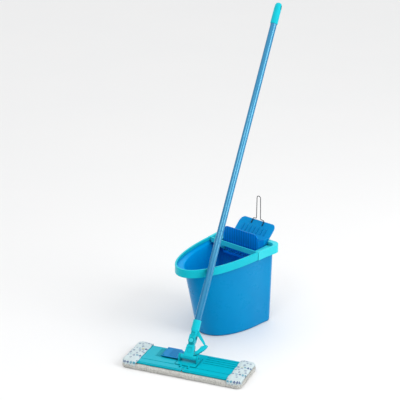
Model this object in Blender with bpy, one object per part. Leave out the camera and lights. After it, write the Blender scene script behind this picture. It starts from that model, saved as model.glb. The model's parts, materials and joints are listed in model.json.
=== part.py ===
"""Mop and bucket with wringer, built as separate pieces in one frame.

Metres, +Z up. The origin is the middle of the bucket's base, on the floor. +X runs along the bucket
from its pouring nose to the wringer, and +Y is the side away from the mop. The mop head stands in front
of the nose on the -Y side, and its handle leans back against the bucket's rim.
"""
import math

import bmesh
import bpy
import numpy as np
from mathutils import Matrix, Vector

# ---- driving sizes -------------------------------------------------------------------------------
GAP = 0.0003            # between pieces that touch
RUNNING = 0.00005       # radial room of a pin in its bore

RIM_HEIGHT = 0.290      # floor to the top of the rim
NOSE_REACH = 0.3165     # plan centre to the tip of the rim's nose
REAR_REACH = 0.083      # plan centre to the rear end of the wringer frame
HALF_WIDTH = 0.1135     # half the rim's width at the plan centre
REAR_SPREAD = 0.125     # widening of each side per metre towards the rear
PLAN_POWER = 2.09       # roundness of the nose
EASE = 0.030            # the sides begin to widen over this length each way from the plan centre
SEAM = 0.034            # the band ends this far in front of the plan centre
BASE_NOSE = 0.196
BASE_REAR = 0.058
BASE_HALF = 0.105
CORNER = 0.026          # rear corners, seen from above
WALL = 0.0025
BAND_HEIGHT = 0.0285
BAND_WALL = 0.0025

FRONT_JAW_RISE = 0.0405  # jaw tops above the rim
REAR_JAW_RISE = 0.0455
JAW_ROOM = 0.0355       # from the rim's side to the jaws' side
JAW_WALL = 0.0026
FLANGE_RISE = 0.0205
PIN_DROP = 0.052        # jaw pins below the rim
JAW_PIN_RADIUS = 0.0025
WIRE_RADIUS = 0.0014

PAD_LENGTH = 0.428
PAD_WIDTH = 0.157
PAD_THICK = 0.0175
WING_EDGE_ROOM = 0.0130  # pad seen beyond the wings' long edges
WING_THICK = 0.0060
WING_END_ROOM = 0.0150   # from a wing's end to the pad's end
POCKET_DEPTH = 0.0505    # how far a pocket covers the end of the pad
FOLD_OFFSET = 0.014     # each fold pin beside the middle seam
FOLD_PIN_RADIUS = 0.002
FOLD_LIMIT = 60.0

PITCH_HEIGHT = 0.042    # pitch pin above the floor
ROLL_RISE = 0.055       # roll pin along the lower link
PIVOT_PIN_RADIUS = 0.003
HANDLE_REACH = 1.270    # pitch pin to the top of the handle
TUBE_RADIUS = 0.0113
TUBE_WALL = 0.0009
CAP_WALL = 0.0017
COLLAR_WALL = 0.0024
CAP_LENGTH = 0.078
HANG_WIDTH = 0.009      # slot that the handle hangs by
HANG_HEIGHT = 0.016
HANG_TOP = 0.008
SIDE_LEAN = 0.040       # handle's lean along the head, radians

MOP_PLACE = (-0.352, -0.127)
MOP_YAW = -1.2503

NOSE_STEPS = 39
JAW_HALF = HALF_WIDTH - JAW_ROOM
WING_HALF_WIDTH = PAD_WIDTH / 2 - WING_EDGE_ROOM
WING_REACH = PAD_LENGTH / 2 - WING_END_ROOM
POCKET_START = PAD_LENGTH / 2 - POCKET_DEPTH
CAP_RADIUS = TUBE_RADIUS + GAP + CAP_WALL
COLLAR_RADIUS = TUBE_RADIUS + GAP + COLLAR_WALL
PLAN_SHIFT = (BASE_NOSE - BASE_REAR) / 2
BAND_BOTTOM = RIM_HEIGHT - BAND_HEIGHT

BLUE = (0.005, 0.235, 0.62)
DEEP_BLUE = (0.004, 0.150, 0.50)
TURQUOISE = (0.010, 0.530, 0.640)
PALE_TURQUOISE = (0.045, 0.640, 0.700)
STEEL = (0.40, 0.40, 0.41)
FIBRE = (0.60, 0.62, 0.58)
CLOTH = (0.78, 0.86, 0.88)


# ---- mesh helpers --------------------------------------------------------------------------------
def clear_scene():
    for obj in list(bpy.data.objects):
        bpy.data.objects.remove(obj, do_unlink=True)


def paint(obj, colour, roughness=0.4, metallic=0.0):
    """Give the object a material of its own."""
    mat = bpy.data.materials.new(obj.name + "_mat")
    mat.use_nodes = True
    shader = mat.node_tree.nodes["Principled BSDF"]
    shader.inputs["Base Color"].default_value = (*colour, 1.0)
    shader.inputs["Roughness"].default_value = roughness
    shader.inputs["Metallic"].default_value = metallic
    mat.diffuse_color = (*colour, 1.0)
    obj.data.materials.clear()
    obj.data.materials.append(mat)
    return obj


def make(name, verts, faces, matrix=None):
    """One mesh object with its faces turned outwards."""
    mesh = bpy.data.meshes.new(name)
    mesh.from_pydata([tuple(float(c) for c in v) for v in verts], [], faces)
    bm = bmesh.new()
    bm.from_mesh(mesh)
    bmesh.ops.remove_doubles(bm, verts=bm.verts, dist=1e-6)
    bmesh.ops.recalc_face_normals(bm, faces=bm.faces)
    bm.to_mesh(mesh)
    bm.free()
    if matrix is not None:
        mesh.transform(matrix)
    obj = bpy.data.objects.new(name, mesh)
    bpy.context.scene.collection.objects.link(obj)
    return obj


def grid_faces(rows, count, closed_rows, closed_ring):
    """Quads between rings of equal point count."""
    faces = []
    for r in range(rows if closed_rows else rows - 1):
        a = r * count
        b = ((r + 1) % rows) * count
        for i in range(count if closed_ring else count - 1):
            j = (i + 1) % count
            faces.append((a + i, a + j, b + j, b + i))
    return faces


def loft(name, rings, matrix=None):
    """A solid through closed rings, capped at both ends."""
    count = len(rings[0])
    faces = grid_faces(len(rings), count, False, True)
    faces.append(tuple(range(count))[::-1])
    faces.append(tuple((len(rings) - 1) * count + i for i in range(count)))
    return make(name, np.concatenate(rings), faces, matrix)


def channel(name, curves, matrix=None):
    """A closed section swept along a path: one open curve for each corner of the section."""
    count = len(curves[0])
    rows = len(curves)
    faces = grid_faces(rows, count, True, False)
    faces.append(tuple(r * count for r in range(rows)))
    faces.append(tuple(r * count + count - 1 for r in range(rows))[::-1])
    return make(name, np.concatenate(curves), faces, matrix)


def prism(name, outline, low, high, plane="xy", matrix=None, bevel=0.0):
    """An outline in one plane, thickened along the third axis from low to high."""
    rings = []
    for level in (low, high):
        if plane == "xy":
            ring = [(a, b, level) for a, b in outline]
        elif plane == "xz":
            ring = [(a, level, b) for a, b in outline]
        else:
            ring = [(level, a, b) for a, b in outline]
        rings.append(np.array(ring))
    obj = loft(name, rings)
    if bevel > 0:
        round_edges(obj, bevel)
    if matrix is not None:
        obj.data.transform(matrix)
    return obj


def revolve(name, profile, steps=28, matrix=None, closed=False):
    """A profile of (radius, height) turned about Z; closed=True is a ring that never meets the axis."""
    turn = np.linspace(0, 2 * math.pi, steps, endpoint=False)
    rings = []
    for radius, height in profile:
        ring = np.stack([radius * np.cos(turn), radius * np.sin(turn), np.full(steps, height)], 1)
        rings.append(ring)
    if closed:
        return make(name, np.concatenate(rings), grid_faces(len(rings), steps, True, True), matrix)
    return loft(name, rings, matrix)


def wire(name, path, radius, matrix=None, sides=8):
    """A round wire along an open path, its section carried without twist."""
    path = [Vector(p) for p in path]
    rings = []
    side = None
    for i, point in enumerate(path):
        ahead = path[min(i + 1, len(path) - 1)] - path[max(i - 1, 0)]
        ahead.normalize()
        if side is None:
            side = ahead.orthogonal().normalized()
        side = (side - ahead * side.dot(ahead)).normalized()
        other = ahead.cross(side)
        ring = []
        for k in range(sides):
            turn = 2 * math.pi * k / sides
            ring.append(point + (side * math.cos(turn) + other * math.sin(turn)) * radius)
        rings.append(np.array([tuple(p) for p in ring]))
    return loft(name, rings, matrix)


def bake(obj):
    """Replace the mesh by what its modifiers make of it."""
    bpy.context.view_layer.update()
    deps = bpy.context.evaluated_depsgraph_get()
    mesh = bpy.data.meshes.new_from_object(obj.evaluated_get(deps))
    obj.modifiers.clear()
    old = obj.data
    obj.data = mesh
    mesh.name = obj.name
    bpy.data.meshes.remove(old)
    return obj


def round_edges(obj, width, segments=2, angle=35):
    mod = obj.modifiers.new("Bevel", "BEVEL")
    mod.width = width
    mod.segments = segments
    mod.limit_method = "ANGLE"
    mod.angle_limit = math.radians(angle)
    mod.use_clamp_overlap = True
    return bake(obj)


def combine(obj, others, operation):
    """Join or cut one object with others, which are used up."""
    for other in others:
        mod = obj.modifiers.new("Combine", "BOOLEAN")
        mod.operation = operation
        mod.solver = "EXACT"
        mod.object = other
        bake(obj)
        bpy.data.objects.remove(other, do_unlink=True)
    bm = bmesh.new()
    bm.from_mesh(obj.data)
    bmesh.ops.remove_doubles(bm, verts=bm.verts, dist=2e-6)
    bmesh.ops.dissolve_degenerate(bm, edges=bm.edges, dist=2e-6)
    bm.to_mesh(obj.data)
    bm.free()
    return obj


def join(obj, *others):
    return combine(obj, others, "UNION")


def cut(obj, *others):
    return combine(obj, others, "DIFFERENCE")


def settle(obj, matrix=None, origin=(0, 0, 0)):
    """Put the mesh in the row's frame, with the object's origin on its joint."""
    if matrix is not None:
        obj.data.transform(matrix)
    obj.data.transform(Matrix.Translation(-Vector(origin)))
    obj.location = Vector(origin)
    return obj


def box(name, low, high, bevel=0.0):
    outline = [(low[0], low[1]), (high[0], low[1]), (high[0], high[1]), (low[0], high[1])]
    return prism(name, outline, low[2], high[2], bevel=bevel)


def rod(name, start, end, radius, steps=16):
    """A plain round bar between two points."""
    start = Vector(start)
    along = Vector(end) - start
    turn = along.to_track_quat("Z", "Y").to_matrix().to_4x4()
    profile = [(radius, 0.0), (radius, along.length)]
    return revolve(name, profile, steps, Matrix.Translation(start) @ turn)


def pin(name, start, end, radius, steps=16):
    """A round bar with chamfered ends."""
    start = Vector(start)
    along = Vector(end) - start
    turn = along.to_track_quat("Z", "Y").to_matrix().to_4x4()
    c = radius * 0.2
    length = along.length
    profile = [(radius - c, 0.0), (radius, c), (radius, length - c), (radius - c, length)]
    return revolve(name, profile, steps, Matrix.Translation(start) @ turn)


def arc(cx, cy, radius, start, end, steps):
    """Points on a circle, angles in degrees."""
    turn = np.radians(np.linspace(start, end, steps))
    return [(cx + radius * math.cos(t), cy + radius * math.sin(t)) for t in turn]


def rounded_rect(x0, y0, x1, y1, radius, steps=5):
    points = arc(x1 - radius, y1 - radius, radius, 0, 90, steps)
    points += arc(x0 + radius, y1 - radius, radius, 90, 180, steps)
    points += arc(x0 + radius, y0 + radius, radius, 180, 270, steps)
    points += arc(x1 - radius, y0 + radius, radius, 270, 360, steps)
    return points


# ---- bucket --------------------------------------------------------------------------------------
def spread_at(u):
    """Widening of the sides: none in front, eased in round the plan centre, then in proportion."""
    eased = (u + EASE) ** 2 / (4 * EASE)
    return REAR_SPREAD * np.where(u <= -EASE, 0.0, np.where(u >= EASE, u, eased))


def plan(nose, rear, half, height, part="full", corner=CORNER):
    """The bucket's outline seen from above: a rounded nose, spreading sides and a straight rear."""

    def nose_curve(turn):
        c = np.abs(np.cos(turn)) ** (2 / PLAN_POWER)
        s = np.sign(np.sin(turn)) * np.abs(np.sin(turn)) ** (2 / PLAN_POWER)
        u = -nose * c
        return np.stack([u, half * s + np.sign(s) * spread_at(u)], 1)

    start = 0.0 if part == "full" else math.asin((SEAM / nose) ** (PLAN_POWER / 2))
    lean = math.atan(REAR_SPREAD)
    centre_u = rear - corner
    centre_v = half + REAR_SPREAD * centre_u - corner / math.cos(lean)
    turn = np.linspace(-math.pi / 2 - lean, 0, 7)
    bend = np.stack([centre_u + corner * np.cos(turn), -centre_v + corner * np.sin(turn)], 1)
    u = np.linspace(0, bend[0, 0], 4)[1:-1]
    side = np.stack([u, -half - spread_at(u)], 1)
    near = np.concatenate([side, bend])
    if part == "rear":
        lead = nose_curve(np.linspace(3 * math.pi / 2 - start, 3 * math.pi / 2, 4))
        near = np.concatenate([lead, near])
    round_rear = np.concatenate([near, near[::-1] * [1, -1]])
    front = nose_curve(np.linspace(math.pi / 2 + start, 3 * math.pi / 2 - start, NOSE_STEPS))
    points = {"full": np.concatenate([front, round_rear]), "front": front, "rear": round_rear}[part]
    ring = np.zeros((len(points), 3))
    ring[:, 0] = points[:, 0] + PLAN_SHIFT
    ring[:, 1] = points[:, 1]
    ring[:, 2] = height
    return ring


SHELL_TOP_NOSE = NOSE_REACH - BAND_WALL - GAP
SHELL_TOP_REAR = REAR_REACH - 0.014
SHELL_TOP_HALF = HALF_WIDTH - BAND_WALL - GAP


def shell_size(height):
    """Nose, rear and half width of the shell's outside at one height."""
    wall_top = BAND_BOTTOM
    flare = RIM_HEIGHT - 0.0125
    if height <= wall_top:
        t = height / wall_top
        nose = BASE_NOSE + (NOSE_REACH - 0.047 - BASE_NOSE) * t
        rear = BASE_REAR + (SHELL_TOP_REAR - 0.003 - BASE_REAR) * t
        half = BASE_HALF + (SHELL_TOP_HALF - 0.004 - BASE_HALF) * t
        return nose, rear, half
    t = min(1.0, (height - wall_top) / (flare - wall_top))
    ease = t * t * (3 - 2 * t)
    nose = (NOSE_REACH - 0.047) + (SHELL_TOP_NOSE - NOSE_REACH + 0.047) * ease
    rear = (SHELL_TOP_REAR - 0.003) + 0.003 * ease
    half = (SHELL_TOP_HALF - 0.004) + 0.004 * ease
    return nose, rear, half


def bucket_shell():
    top = RIM_HEIGHT - BAND_WALL - GAP
    levels = [0.0, 0.0015, 0.005, 0.13, BAND_BOTTOM]
    for step in (0.33, 0.67, 1.0):
        levels.append(BAND_BOTTOM + (RIM_HEIGHT - 0.0125 - BAND_BOTTOM) * step)
    levels.append(top)
    rings = []
    for height in levels:
        nose, rear, half = shell_size(height)
        tuck = {0.0: 0.005, 0.0015: 0.002}.get(height, 0.0)
        rings.append(plan(nose - tuck, rear - tuck, half - tuck, height))
    for height in reversed(levels):
        nose, rear, half = shell_size(height)
        if height < 0.003:
            continue
        tuck = WALL + (0.004 if height < 0.006 else 0.0)
        level = max(height, 0.0055) if height < 0.006 else height
        rings.append(plan(nose - tuck, rear - tuck, half - tuck, level, corner=CORNER - tuck))
    nose, rear, half = shell_size(0.003)
    rings.append(plan(nose - 0.012, rear - 0.012, half - 0.012, 0.0032, corner=CORNER - 0.012))
    return paint(settle(loft("bucket_shell", rings)), BLUE, 0.32)


def rim_section(outer, wall, skirt, inner, lip, r):
    """Corners of an upside-down U: (inset, height) pairs going once round."""
    top = RIM_HEIGHT
    return [
        (outer, top - skirt), (outer, top - r), (outer + r * 0.3, top - r * 0.3), (outer + r, top),
        (inner - r, top), (inner - r * 0.3, top - r * 0.3), (inner, top - r), (inner, top - lip),
        (inner - 0.002, top - lip), (inner - 0.002, top - wall), (outer + wall, top - wall),
        (outer + wall, top - skirt),
    ]


LIP_INSET = BAND_WALL + GAP + WALL + GAP + 0.002


def rim_band():
    curves = []
    for inset, height in rim_section(0.0, BAND_WALL, BAND_HEIGHT, LIP_INSET, 0.011, 0.0012):
        curves.append(plan(NOSE_REACH - inset, REAR_REACH, HALF_WIDTH - inset, height, "front"))
    obj = channel("rim_band", curves)
    end = box("trim", (PLAN_SHIFT - SEAM - GAP, -0.3, 0.1), (PLAN_SHIFT + 0.3, 0.3, 0.5))
    cut(obj, end)
    return paint(settle(obj), TURQUOISE, 0.30)


EAR_INNER = JAW_HALF + 0.0012
FRONT_PIN = (PLAN_SHIFT + 0.022, RIM_HEIGHT - PIN_DROP)
REAR_PIN = (PLAN_SHIFT + 0.042, RIM_HEIGHT - PIN_DROP)
STRIP_X = PLAN_SHIFT - SEAM


def wringer_frame():
    """The rear rim piece, with its cross strip and the two cheeks that hold the jaw pins."""
    proud = 0.0016
    curves = []
    for inset, height in rim_section(-proud, BAND_WALL, BAND_HEIGHT + 0.0015, LIP_INSET, 0.012, 0.0014):
        rear = REAR_REACH - inset
        corner = CORNER
        if inset > BAND_WALL:
            rear = SHELL_TOP_REAR + BAND_WALL + GAP - inset
            corner = CORNER + BAND_WALL + GAP - inset
        curves.append(plan(NOSE_REACH - inset, rear, HALF_WIDTH - inset, height, "rear", corner))
    obj = channel("wringer_frame", curves)
    lip_half = HALF_WIDTH - LIP_INSET
    narrow, wide = lip_half - 0.0045, lip_half + 0.001
    low, bend, high = RIM_HEIGHT - 0.018, RIM_HEIGHT - 0.0115, RIM_HEIGHT - 0.0002
    face = [(-narrow, low), (narrow, low), (narrow, bend - 0.001), (wide, bend), (wide, high), (-wide, high),
            (-wide, bend), (-narrow, bend - 0.001)]
    strip = prism("strip", face, STRIP_X, STRIP_X + 0.0035, "yz")
    extras = [strip]
    low = RIM_HEIGHT - PIN_DROP - 0.012
    for side in (-1, 1):
        inner = side * EAR_INNER
        outer = side * (EAR_INNER + 0.003)
        cheek = [(STRIP_X + 0.0005, RIM_HEIGHT - 0.0115), (STRIP_X + 0.0005, RIM_HEIGHT - 0.022)]
        cheek += arc(FRONT_PIN[0], FRONT_PIN[1], 0.009, 200, 270, 5)
        cheek += arc(REAR_PIN[0], REAR_PIN[1], 0.009, 270, 340, 5)
        cheek += [(PLAN_SHIFT + 0.058, RIM_HEIGHT - 0.022), (PLAN_SHIFT + 0.058, RIM_HEIGHT - 0.0115)]
        extras.append(prism("cheek", cheek, min(inner, outer), max(inner, outer), "xz"))
        along = np.linspace(0.0008 - SEAM, 0.0360, 7)
        shelf = [(PLAN_SHIFT + u, side * (lip_half + 0.0012 + spread_at(u))) for u in along]
        shelf += [(PLAN_SHIFT + 0.0575, inner), (STRIP_X + 0.0008, inner)]
        extras.append(prism("shelf", shelf, RIM_HEIGHT - 0.0140, RIM_HEIGHT - 0.0112))
    join(obj, *extras)
    holes = []
    for x, z in (FRONT_PIN, REAR_PIN):
        holes.append(rod("hole", (x, -0.2, z), (x, 0.2, z), JAW_PIN_RADIUS + GAP, 16))
    cut(obj, *holes)
    return paint(settle(obj), PALE_TURQUOISE, 0.30)


def jaw_pins():
    reach = EAR_INNER + 0.0045
    pins = []
    for name, (x, z) in (("front_jaw_pin", FRONT_PIN), ("rear_jaw_pin", REAR_PIN)):
        obj = pin(name, (x, -reach, z), (x, reach, z), JAW_PIN_RADIUS, 16)
        pins.append(paint(settle(obj), STEEL, 0.3, 1.0))
    return pins


def sieve_tray():
    """The perforated floor that hangs between the cheeks, under the jaws."""
    half = EAR_INNER - GAP
    top = RIM_HEIGHT - PIN_DROP - 0.0105
    low = top - 0.0022
    x0, x1 = PLAN_SHIFT + 0.006, PLAN_SHIFT + 0.058
    obj = box("sieve_tray", (x0, -half, low), (x1, half, top))
    walls = [box("wall", (x0, -half, low), (x0 + 0.002, half, top + 0.006)),
             box("wall", (x1 - 0.002, -half, low), (x1, half, top + 0.006))]
    join(obj, *walls)
    slots = []
    count = 9
    for i in range(count):
        y = (i - (count - 1) / 2) * (2 * half - 0.02) / count
        slots.append(box("slot", (x0 + 0.006, y - 0.003, low - 0.01), (x1 - 0.006, y + 0.003, top + 0.01)))
    cut(obj, *slots)
    return paint(settle(obj), DEEP_BLUE, 0.4)


def jaw_wall(points, thick):
    """A bent plate seen from the side: the given line and the same line set off along +X."""
    return points + [(x + thick, z) for x, z in reversed(points)]


def knuckles(places, centre, width, radius):
    """Eyes round a jaw pin at the given stations across the jaw."""
    eyes = []
    for y in places:
        outline = arc(centre[0], centre[1], radius, 0, 345, 24)
        eyes.append(prism("eye", outline, y - width / 2, y + width / 2, "xz"))
    return eyes


def front_jaw():
    x = PLAN_SHIFT + 0.0055
    rim = RIM_HEIGHT
    top = rim + FRONT_JAW_RISE
    px, pz = FRONT_PIN
    half = JAW_HALF
    radius = 0.020
    face = arc(half - radius, top - radius, radius, 0, 90, 8)
    face += arc(-half + radius, top - radius, radius, 90, 180, 8)
    face += [(-half, rim - 0.010), (half, rim - 0.010)]
    obj = prism("front_jaw", face, x, x + JAW_WALL, "yz")
    lower = [(x, rim - 0.0095), (x, rim - 0.014), (px - 0.0045, pz + 0.004), (px - 0.0035, pz - 0.003)]
    inner = [(px - 0.001, pz - 0.003), (px - 0.0015, pz + 0.005), (x + JAW_WALL, rim - 0.013),
             (x + JAW_WALL, rim - 0.0095)]
    parts = [prism("throat", lower + inner, -half + 0.0006, half - 0.0006, "xz")]
    for side in (-1, 1):
        a, b = side * (half - 0.0024), side * half
        back = PLAN_SHIFT + 0.0405
        flange = [(x + 0.001, rim - 0.024), (back - 0.004, rim - 0.024), (back, rim - 0.018),
                  (back, rim + FLANGE_RISE - 0.0060), (x + 0.001, rim + FLANGE_RISE)]
        parts.append(prism("flange", flange, min(a, b), max(a, b), "xz"))
    ribs = 9
    pitch = 2 * (half - 0.013) / (ribs - 1)
    for i in range(ribs):
        y = (i - (ribs - 1) / 2) * pitch
        rib = [(x - 0.0008, rim - 0.005), (x + 0.001, rim - 0.005), (x + 0.001, top - 0.016), (x - 0.0002, top - 0.016)]
        parts.append(prism("rib", rib, y - 0.0011, y + 0.0011, "xz"))
    outer = half - 0.029
    parts += knuckles((-outer, -outer / 3, outer / 3, outer), FRONT_PIN, 0.014, 0.0052)
    join(obj, *parts)
    cut(obj, rod("hole", (px, -0.2, pz), (px, 0.2, pz), JAW_PIN_RADIUS + RUNNING, 24))
    return paint(settle(obj, origin=(px, 0, pz)), DEEP_BLUE, 0.34)


def rear_jaw():
    rim = RIM_HEIGHT
    top = rim + REAR_JAW_RISE
    px, pz = REAR_PIN
    s = PLAN_SHIFT
    half = JAW_HALF - 0.0028
    wide = JAW_HALF
    line = [(px + 0.0025, pz + 0.004), (s + 0.0545, rim - 0.014), (s + 0.0590, rim - 0.001),
            (s + 0.0735, rim + 0.0110), (s + 0.0925, rim + 0.0285), (s + 0.1100, top)]
    thick = 0.0036
    obj = prism("rear_jaw", jaw_wall(line, thick), -wide, wide, "xz")
    # rounded top corners
    cutters = []
    radius = 0.016
    for side in (-1, 1):
        corner = [(side * (wide + 0.01), top + 0.01), (side * (wide + 0.01), top - radius)]
        bend = arc(wide - radius, top - radius, radius, 0, 90, 8)
        corner += [(side * y, z) for y, z in bend]
        corner.append((side * (wide - radius), top + 0.01))
        cutters.append(prism("corner", corner, s, s + 0.2, "yz"))
    cut(obj, *cutters)
    parts = []
    for side in (-1, 1):
        a, b = side * (half - 0.0024), side * half
        front = s + 0.0358
        flange = [(front, rim - 0.018), (front, rim + FLANGE_RISE - 0.0065), (s + 0.0715, rim + 0.0085),
                  (s + 0.0615, rim), (s + 0.0565, rim - 0.012), (s + 0.0530, rim - 0.024), (s + 0.040, rim - 0.024)]
        parts.append(prism("flange", flange, min(a, b), max(a, b), "xz"))
    for i in range(7):
        y = (i - 3) * (wide - 0.028) / 3
        rib = [(s + 0.0735, rim + 0.0098), (s + 0.0722, rim + 0.0130), (s + 0.0890, rim + 0.0283),
               (s + 0.0948, rim + 0.0306), (s + 0.0945, rim + 0.0285), (s + 0.0760, rim + 0.0115)]
        parts.append(prism("rib", rib, y - 0.0013, y + 0.0013, "xz"))
    parts += knuckles((-0.040, 0.0, 0.040), REAR_PIN, 0.014, 0.0052)
    join(obj, *parts)
    cut(obj, rod("hole", (px, -0.2, pz), (px, 0.2, pz), JAW_PIN_RADIUS + RUNNING, 24))
    return paint(settle(obj, origin=(px, 0, pz)), BLUE, 0.34)


WIRE_FOOT = 0.0245
WIRE_LEG = 0.0078
WIRE_HEIGHT = 0.091


def guide_wire():
    """The steel loop that stands on the rear jaw."""
    x = PLAN_SHIFT + 0.1088
    base = RIM_HEIGHT + REAR_JAW_RISE + 0.0030
    low = base - 0.0135
    knee = base - 0.0018
    bend = 0.0035
    half = [(WIRE_FOOT, low), (WIRE_FOOT, knee), (WIRE_FOOT, base - 0.0010)]
    half += arc(WIRE_FOOT - bend, base - 0.0010, bend, 30, 90, 4)
    half += arc(WIRE_LEG + 0.0010 + bend, base + 2 * bend - 0.0010, bend, 270, 188, 5)
    half += [(WIRE_LEG + 0.0010, base + 0.02), (WIRE_LEG + 0.0004, base + WIRE_HEIGHT - 0.030)]
    half += [(WIRE_LEG, base + WIRE_HEIGHT - 0.012)]
    half += arc(0, base + WIRE_HEIGHT - WIRE_LEG, WIRE_LEG, 5, 90, 7)
    # the feet slant down the front face of the jaw
    half = [(x - max(0.0, knee - z) * 0.0175 / 0.0170, y, z) for y, z in half]
    path = half + [(px, -y, z) for px, y, z in reversed(half[:-1])]
    return paint(settle(wire("guide_wire", path, WIRE_RADIUS), origin=(REAR_PIN[0], 0, REAR_PIN[1])), STEEL, 0.28, 1.0)


# ---- mop -----------------------------------------------------------------------------------------
MOP = Matrix.Translation((MOP_PLACE[0], MOP_PLACE[1], 0)) @ Matrix.Rotation(MOP_YAW, 4, "Z")


def rim_clearance(lean):
    """Least distance from the handle's axis to the rim's outer edges, for one backward lean."""
    frame = MOP @ Matrix.Translation((0, 0, PITCH_HEIGHT)) @ Matrix.Rotation(-lean, 4, "X")
    frame = frame @ Matrix.Translation((0, 0, ROLL_RISE)) @ Matrix.Rotation(SIDE_LEAN, 4, "Y")
    start = np.array(frame.translation)
    along = np.array(frame.to_3x3() @ Vector((0, 0, 1)))
    rings = [plan(NOSE_REACH, REAR_REACH, HALF_WIDTH, BAND_BOTTOM), plan(NOSE_REACH, REAR_REACH, HALF_WIDTH, RIM_HEIGHT)]
    points = []
    for a, b in zip(rings[0], rings[1]):
        for t in (0.0, 0.5, 1.0):
            points.append(a + (b - a) * t)
    points = np.array(points)
    dense = np.concatenate([points, (points + np.roll(points, 3, axis=0)) / 2]) - start
    along_part = dense @ along
    return np.sqrt(np.maximum((dense ** 2).sum(1) - along_part ** 2, 0)).min()


def rest_lean():
    """The backward lean at which the tube just clears the rim."""
    high = 0.05
    while high < 1.2 and rim_clearance(high) > TUBE_RADIUS + 0.0006:
        high += 0.01
    low = high - 0.01
    for _ in range(30):
        mid = (low + high) / 2
        if rim_clearance(mid) > TUBE_RADIUS + 0.0006:
            low = mid
        else:
            high = mid
    return low


LEAN = rest_lean()
YOKE = MOP @ Matrix.Translation((0, 0, PITCH_HEIGHT)) @ Matrix.Rotation(-LEAN, 4, "X")
STEM = YOKE @ Matrix.Translation((0, 0, ROLL_RISE)) @ Matrix.Rotation(SIDE_LEAN, 4, "Y")

WING_LOW = PAD_THICK + GAP
WING_TOP = WING_LOW + WING_THICK
FOLD_HEIGHT = WING_TOP - 0.0003
TURRET_X = 0.036
TURRET_Y = 0.0325
TURRET_TOP = WING_TOP + 0.0030
NOTCH_X = TURRET_X + 0.0012
NOTCH_Y = TURRET_Y + 0.0010


def mitre(side, clear_top, clear_low, low, high, reach):
    """Wedge that leaves room for one half to fold down past the other."""
    outline = [(-0.03 * side, low - 0.001), (clear_low * side, low - 0.001), (clear_top * side, high),
               (clear_top * side, high + 0.02), (-0.03 * side, high + 0.02)]
    return prism("mitre", outline, -reach, reach, "xz")


def wing(side, name):
    outline = rounded_rect(-0.004, -WING_HALF_WIDTH, WING_REACH, WING_HALF_WIDTH, 0.010)
    outline = [(side * x, y) for x, y in outline]
    obj = prism(name, outline, WING_LOW, WING_TOP, bevel=0.0012)
    parts = []
    near, far = side * 0.004, side * (POCKET_START - 0.004)
    panel = rounded_rect(min(near, far), -WING_HALF_WIDTH + 0.005, max(near, far), -0.036, 0.006)
    parts.append(prism("panel", panel, WING_TOP - 0.002, WING_TOP + 0.0012, bevel=0.0006))
    start = NOTCH_X + 0.003
    panel = rounded_rect(min(side * start, far), -0.034, max(side * start, far), -0.004, 0.004)
    parts.append(prism("panel", panel, WING_TOP - 0.002, WING_TOP + 0.0012, bevel=0.0006))
    for y in (-1, 1):
        a, b = y * (NOTCH_Y + 0.0002), y * (NOTCH_Y + 0.0122)
        knuckle = [(side * (FOLD_OFFSET - 0.006), WING_TOP - 0.002), (side * (FOLD_OFFSET + 0.008), WING_TOP - 0.002)]
        knuckle += [(side * (FOLD_OFFSET + px), FOLD_HEIGHT + pz) for px, pz in arc(0, 0, 0.0042, 0, 180, 9)]
        parts.append(prism("knuckle", knuckle, min(a, b), max(a, b), "xz"))
    if side > 0:
        ridge_rows = (0.010, 0.024, 0.038, 0.052)
    else:
        ridge_rows = ()
        for x in (-0.108, -0.114, -0.120):
            parts.append(box("rib", (x - 0.0012, 0.000, WING_TOP - 0.001), (x + 0.0012, 0.055, WING_TOP + 0.0014)))
        for y in (PEDAL_Y0 + 0.006, PEDAL_Y1 - 0.010):
            lug = [(PEDAL_PIN_X - 0.0035, WING_TOP - 0.001), (PEDAL_PIN_X + 0.0035, WING_TOP - 0.001)]
            lug += arc(PEDAL_PIN_X, PEDAL_PIN_Z, 0.0026, 0, 180, 9)
            parts.append(prism("lug", lug, y, y + 0.004, "xz"))
    join(obj, *parts)
    cutters = [box("notch", (min(-0.02 * side, side * NOTCH_X), -NOTCH_Y, -0.01),
                   (max(-0.02 * side, side * NOTCH_X), NOTCH_Y, 0.06))]
    cutters.append(mitre(side, GAP + 0.0003, 0.0032, WING_LOW, WING_TOP - 0.0004, 0.09))
    for y in ridge_rows:
        groove = rounded_rect(0.046, y - 0.0022, POCKET_START - 0.006, y + 0.0022, 0.0021, 4)
        cutters.append(prism("groove", groove, WING_TOP - 0.0013, WING_TOP + 0.01))
    cutters.append(rod("hole", (side * FOLD_OFFSET, -0.05, FOLD_HEIGHT), (side * FOLD_OFFSET, 0.05, FOLD_HEIGHT),
                       FOLD_PIN_RADIUS + RUNNING, 24))
    if side < 0:
        cutters.append(rod("hole", (PEDAL_PIN_X, -0.03, PEDAL_PIN_Z), (PEDAL_PIN_X, 0.08, PEDAL_PIN_Z),
                           PEDAL_PIN_RADIUS + GAP, 16))
    cut(obj, *cutters)
    origin = MOP @ Vector((side * FOLD_OFFSET, 0, FOLD_HEIGHT))
    return paint(settle(obj, MOP, origin), TURQUOISE, 0.33)


PEDAL_X0 = -0.101
PEDAL_X1 = -0.0400
PEDAL_Y0 = -0.002
PEDAL_Y1 = 0.063
PEDAL_PIN_X = -0.0975
PEDAL_PIN_Z = WING_TOP + 0.0042
PEDAL_PIN_RADIUS = 0.0012


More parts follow.
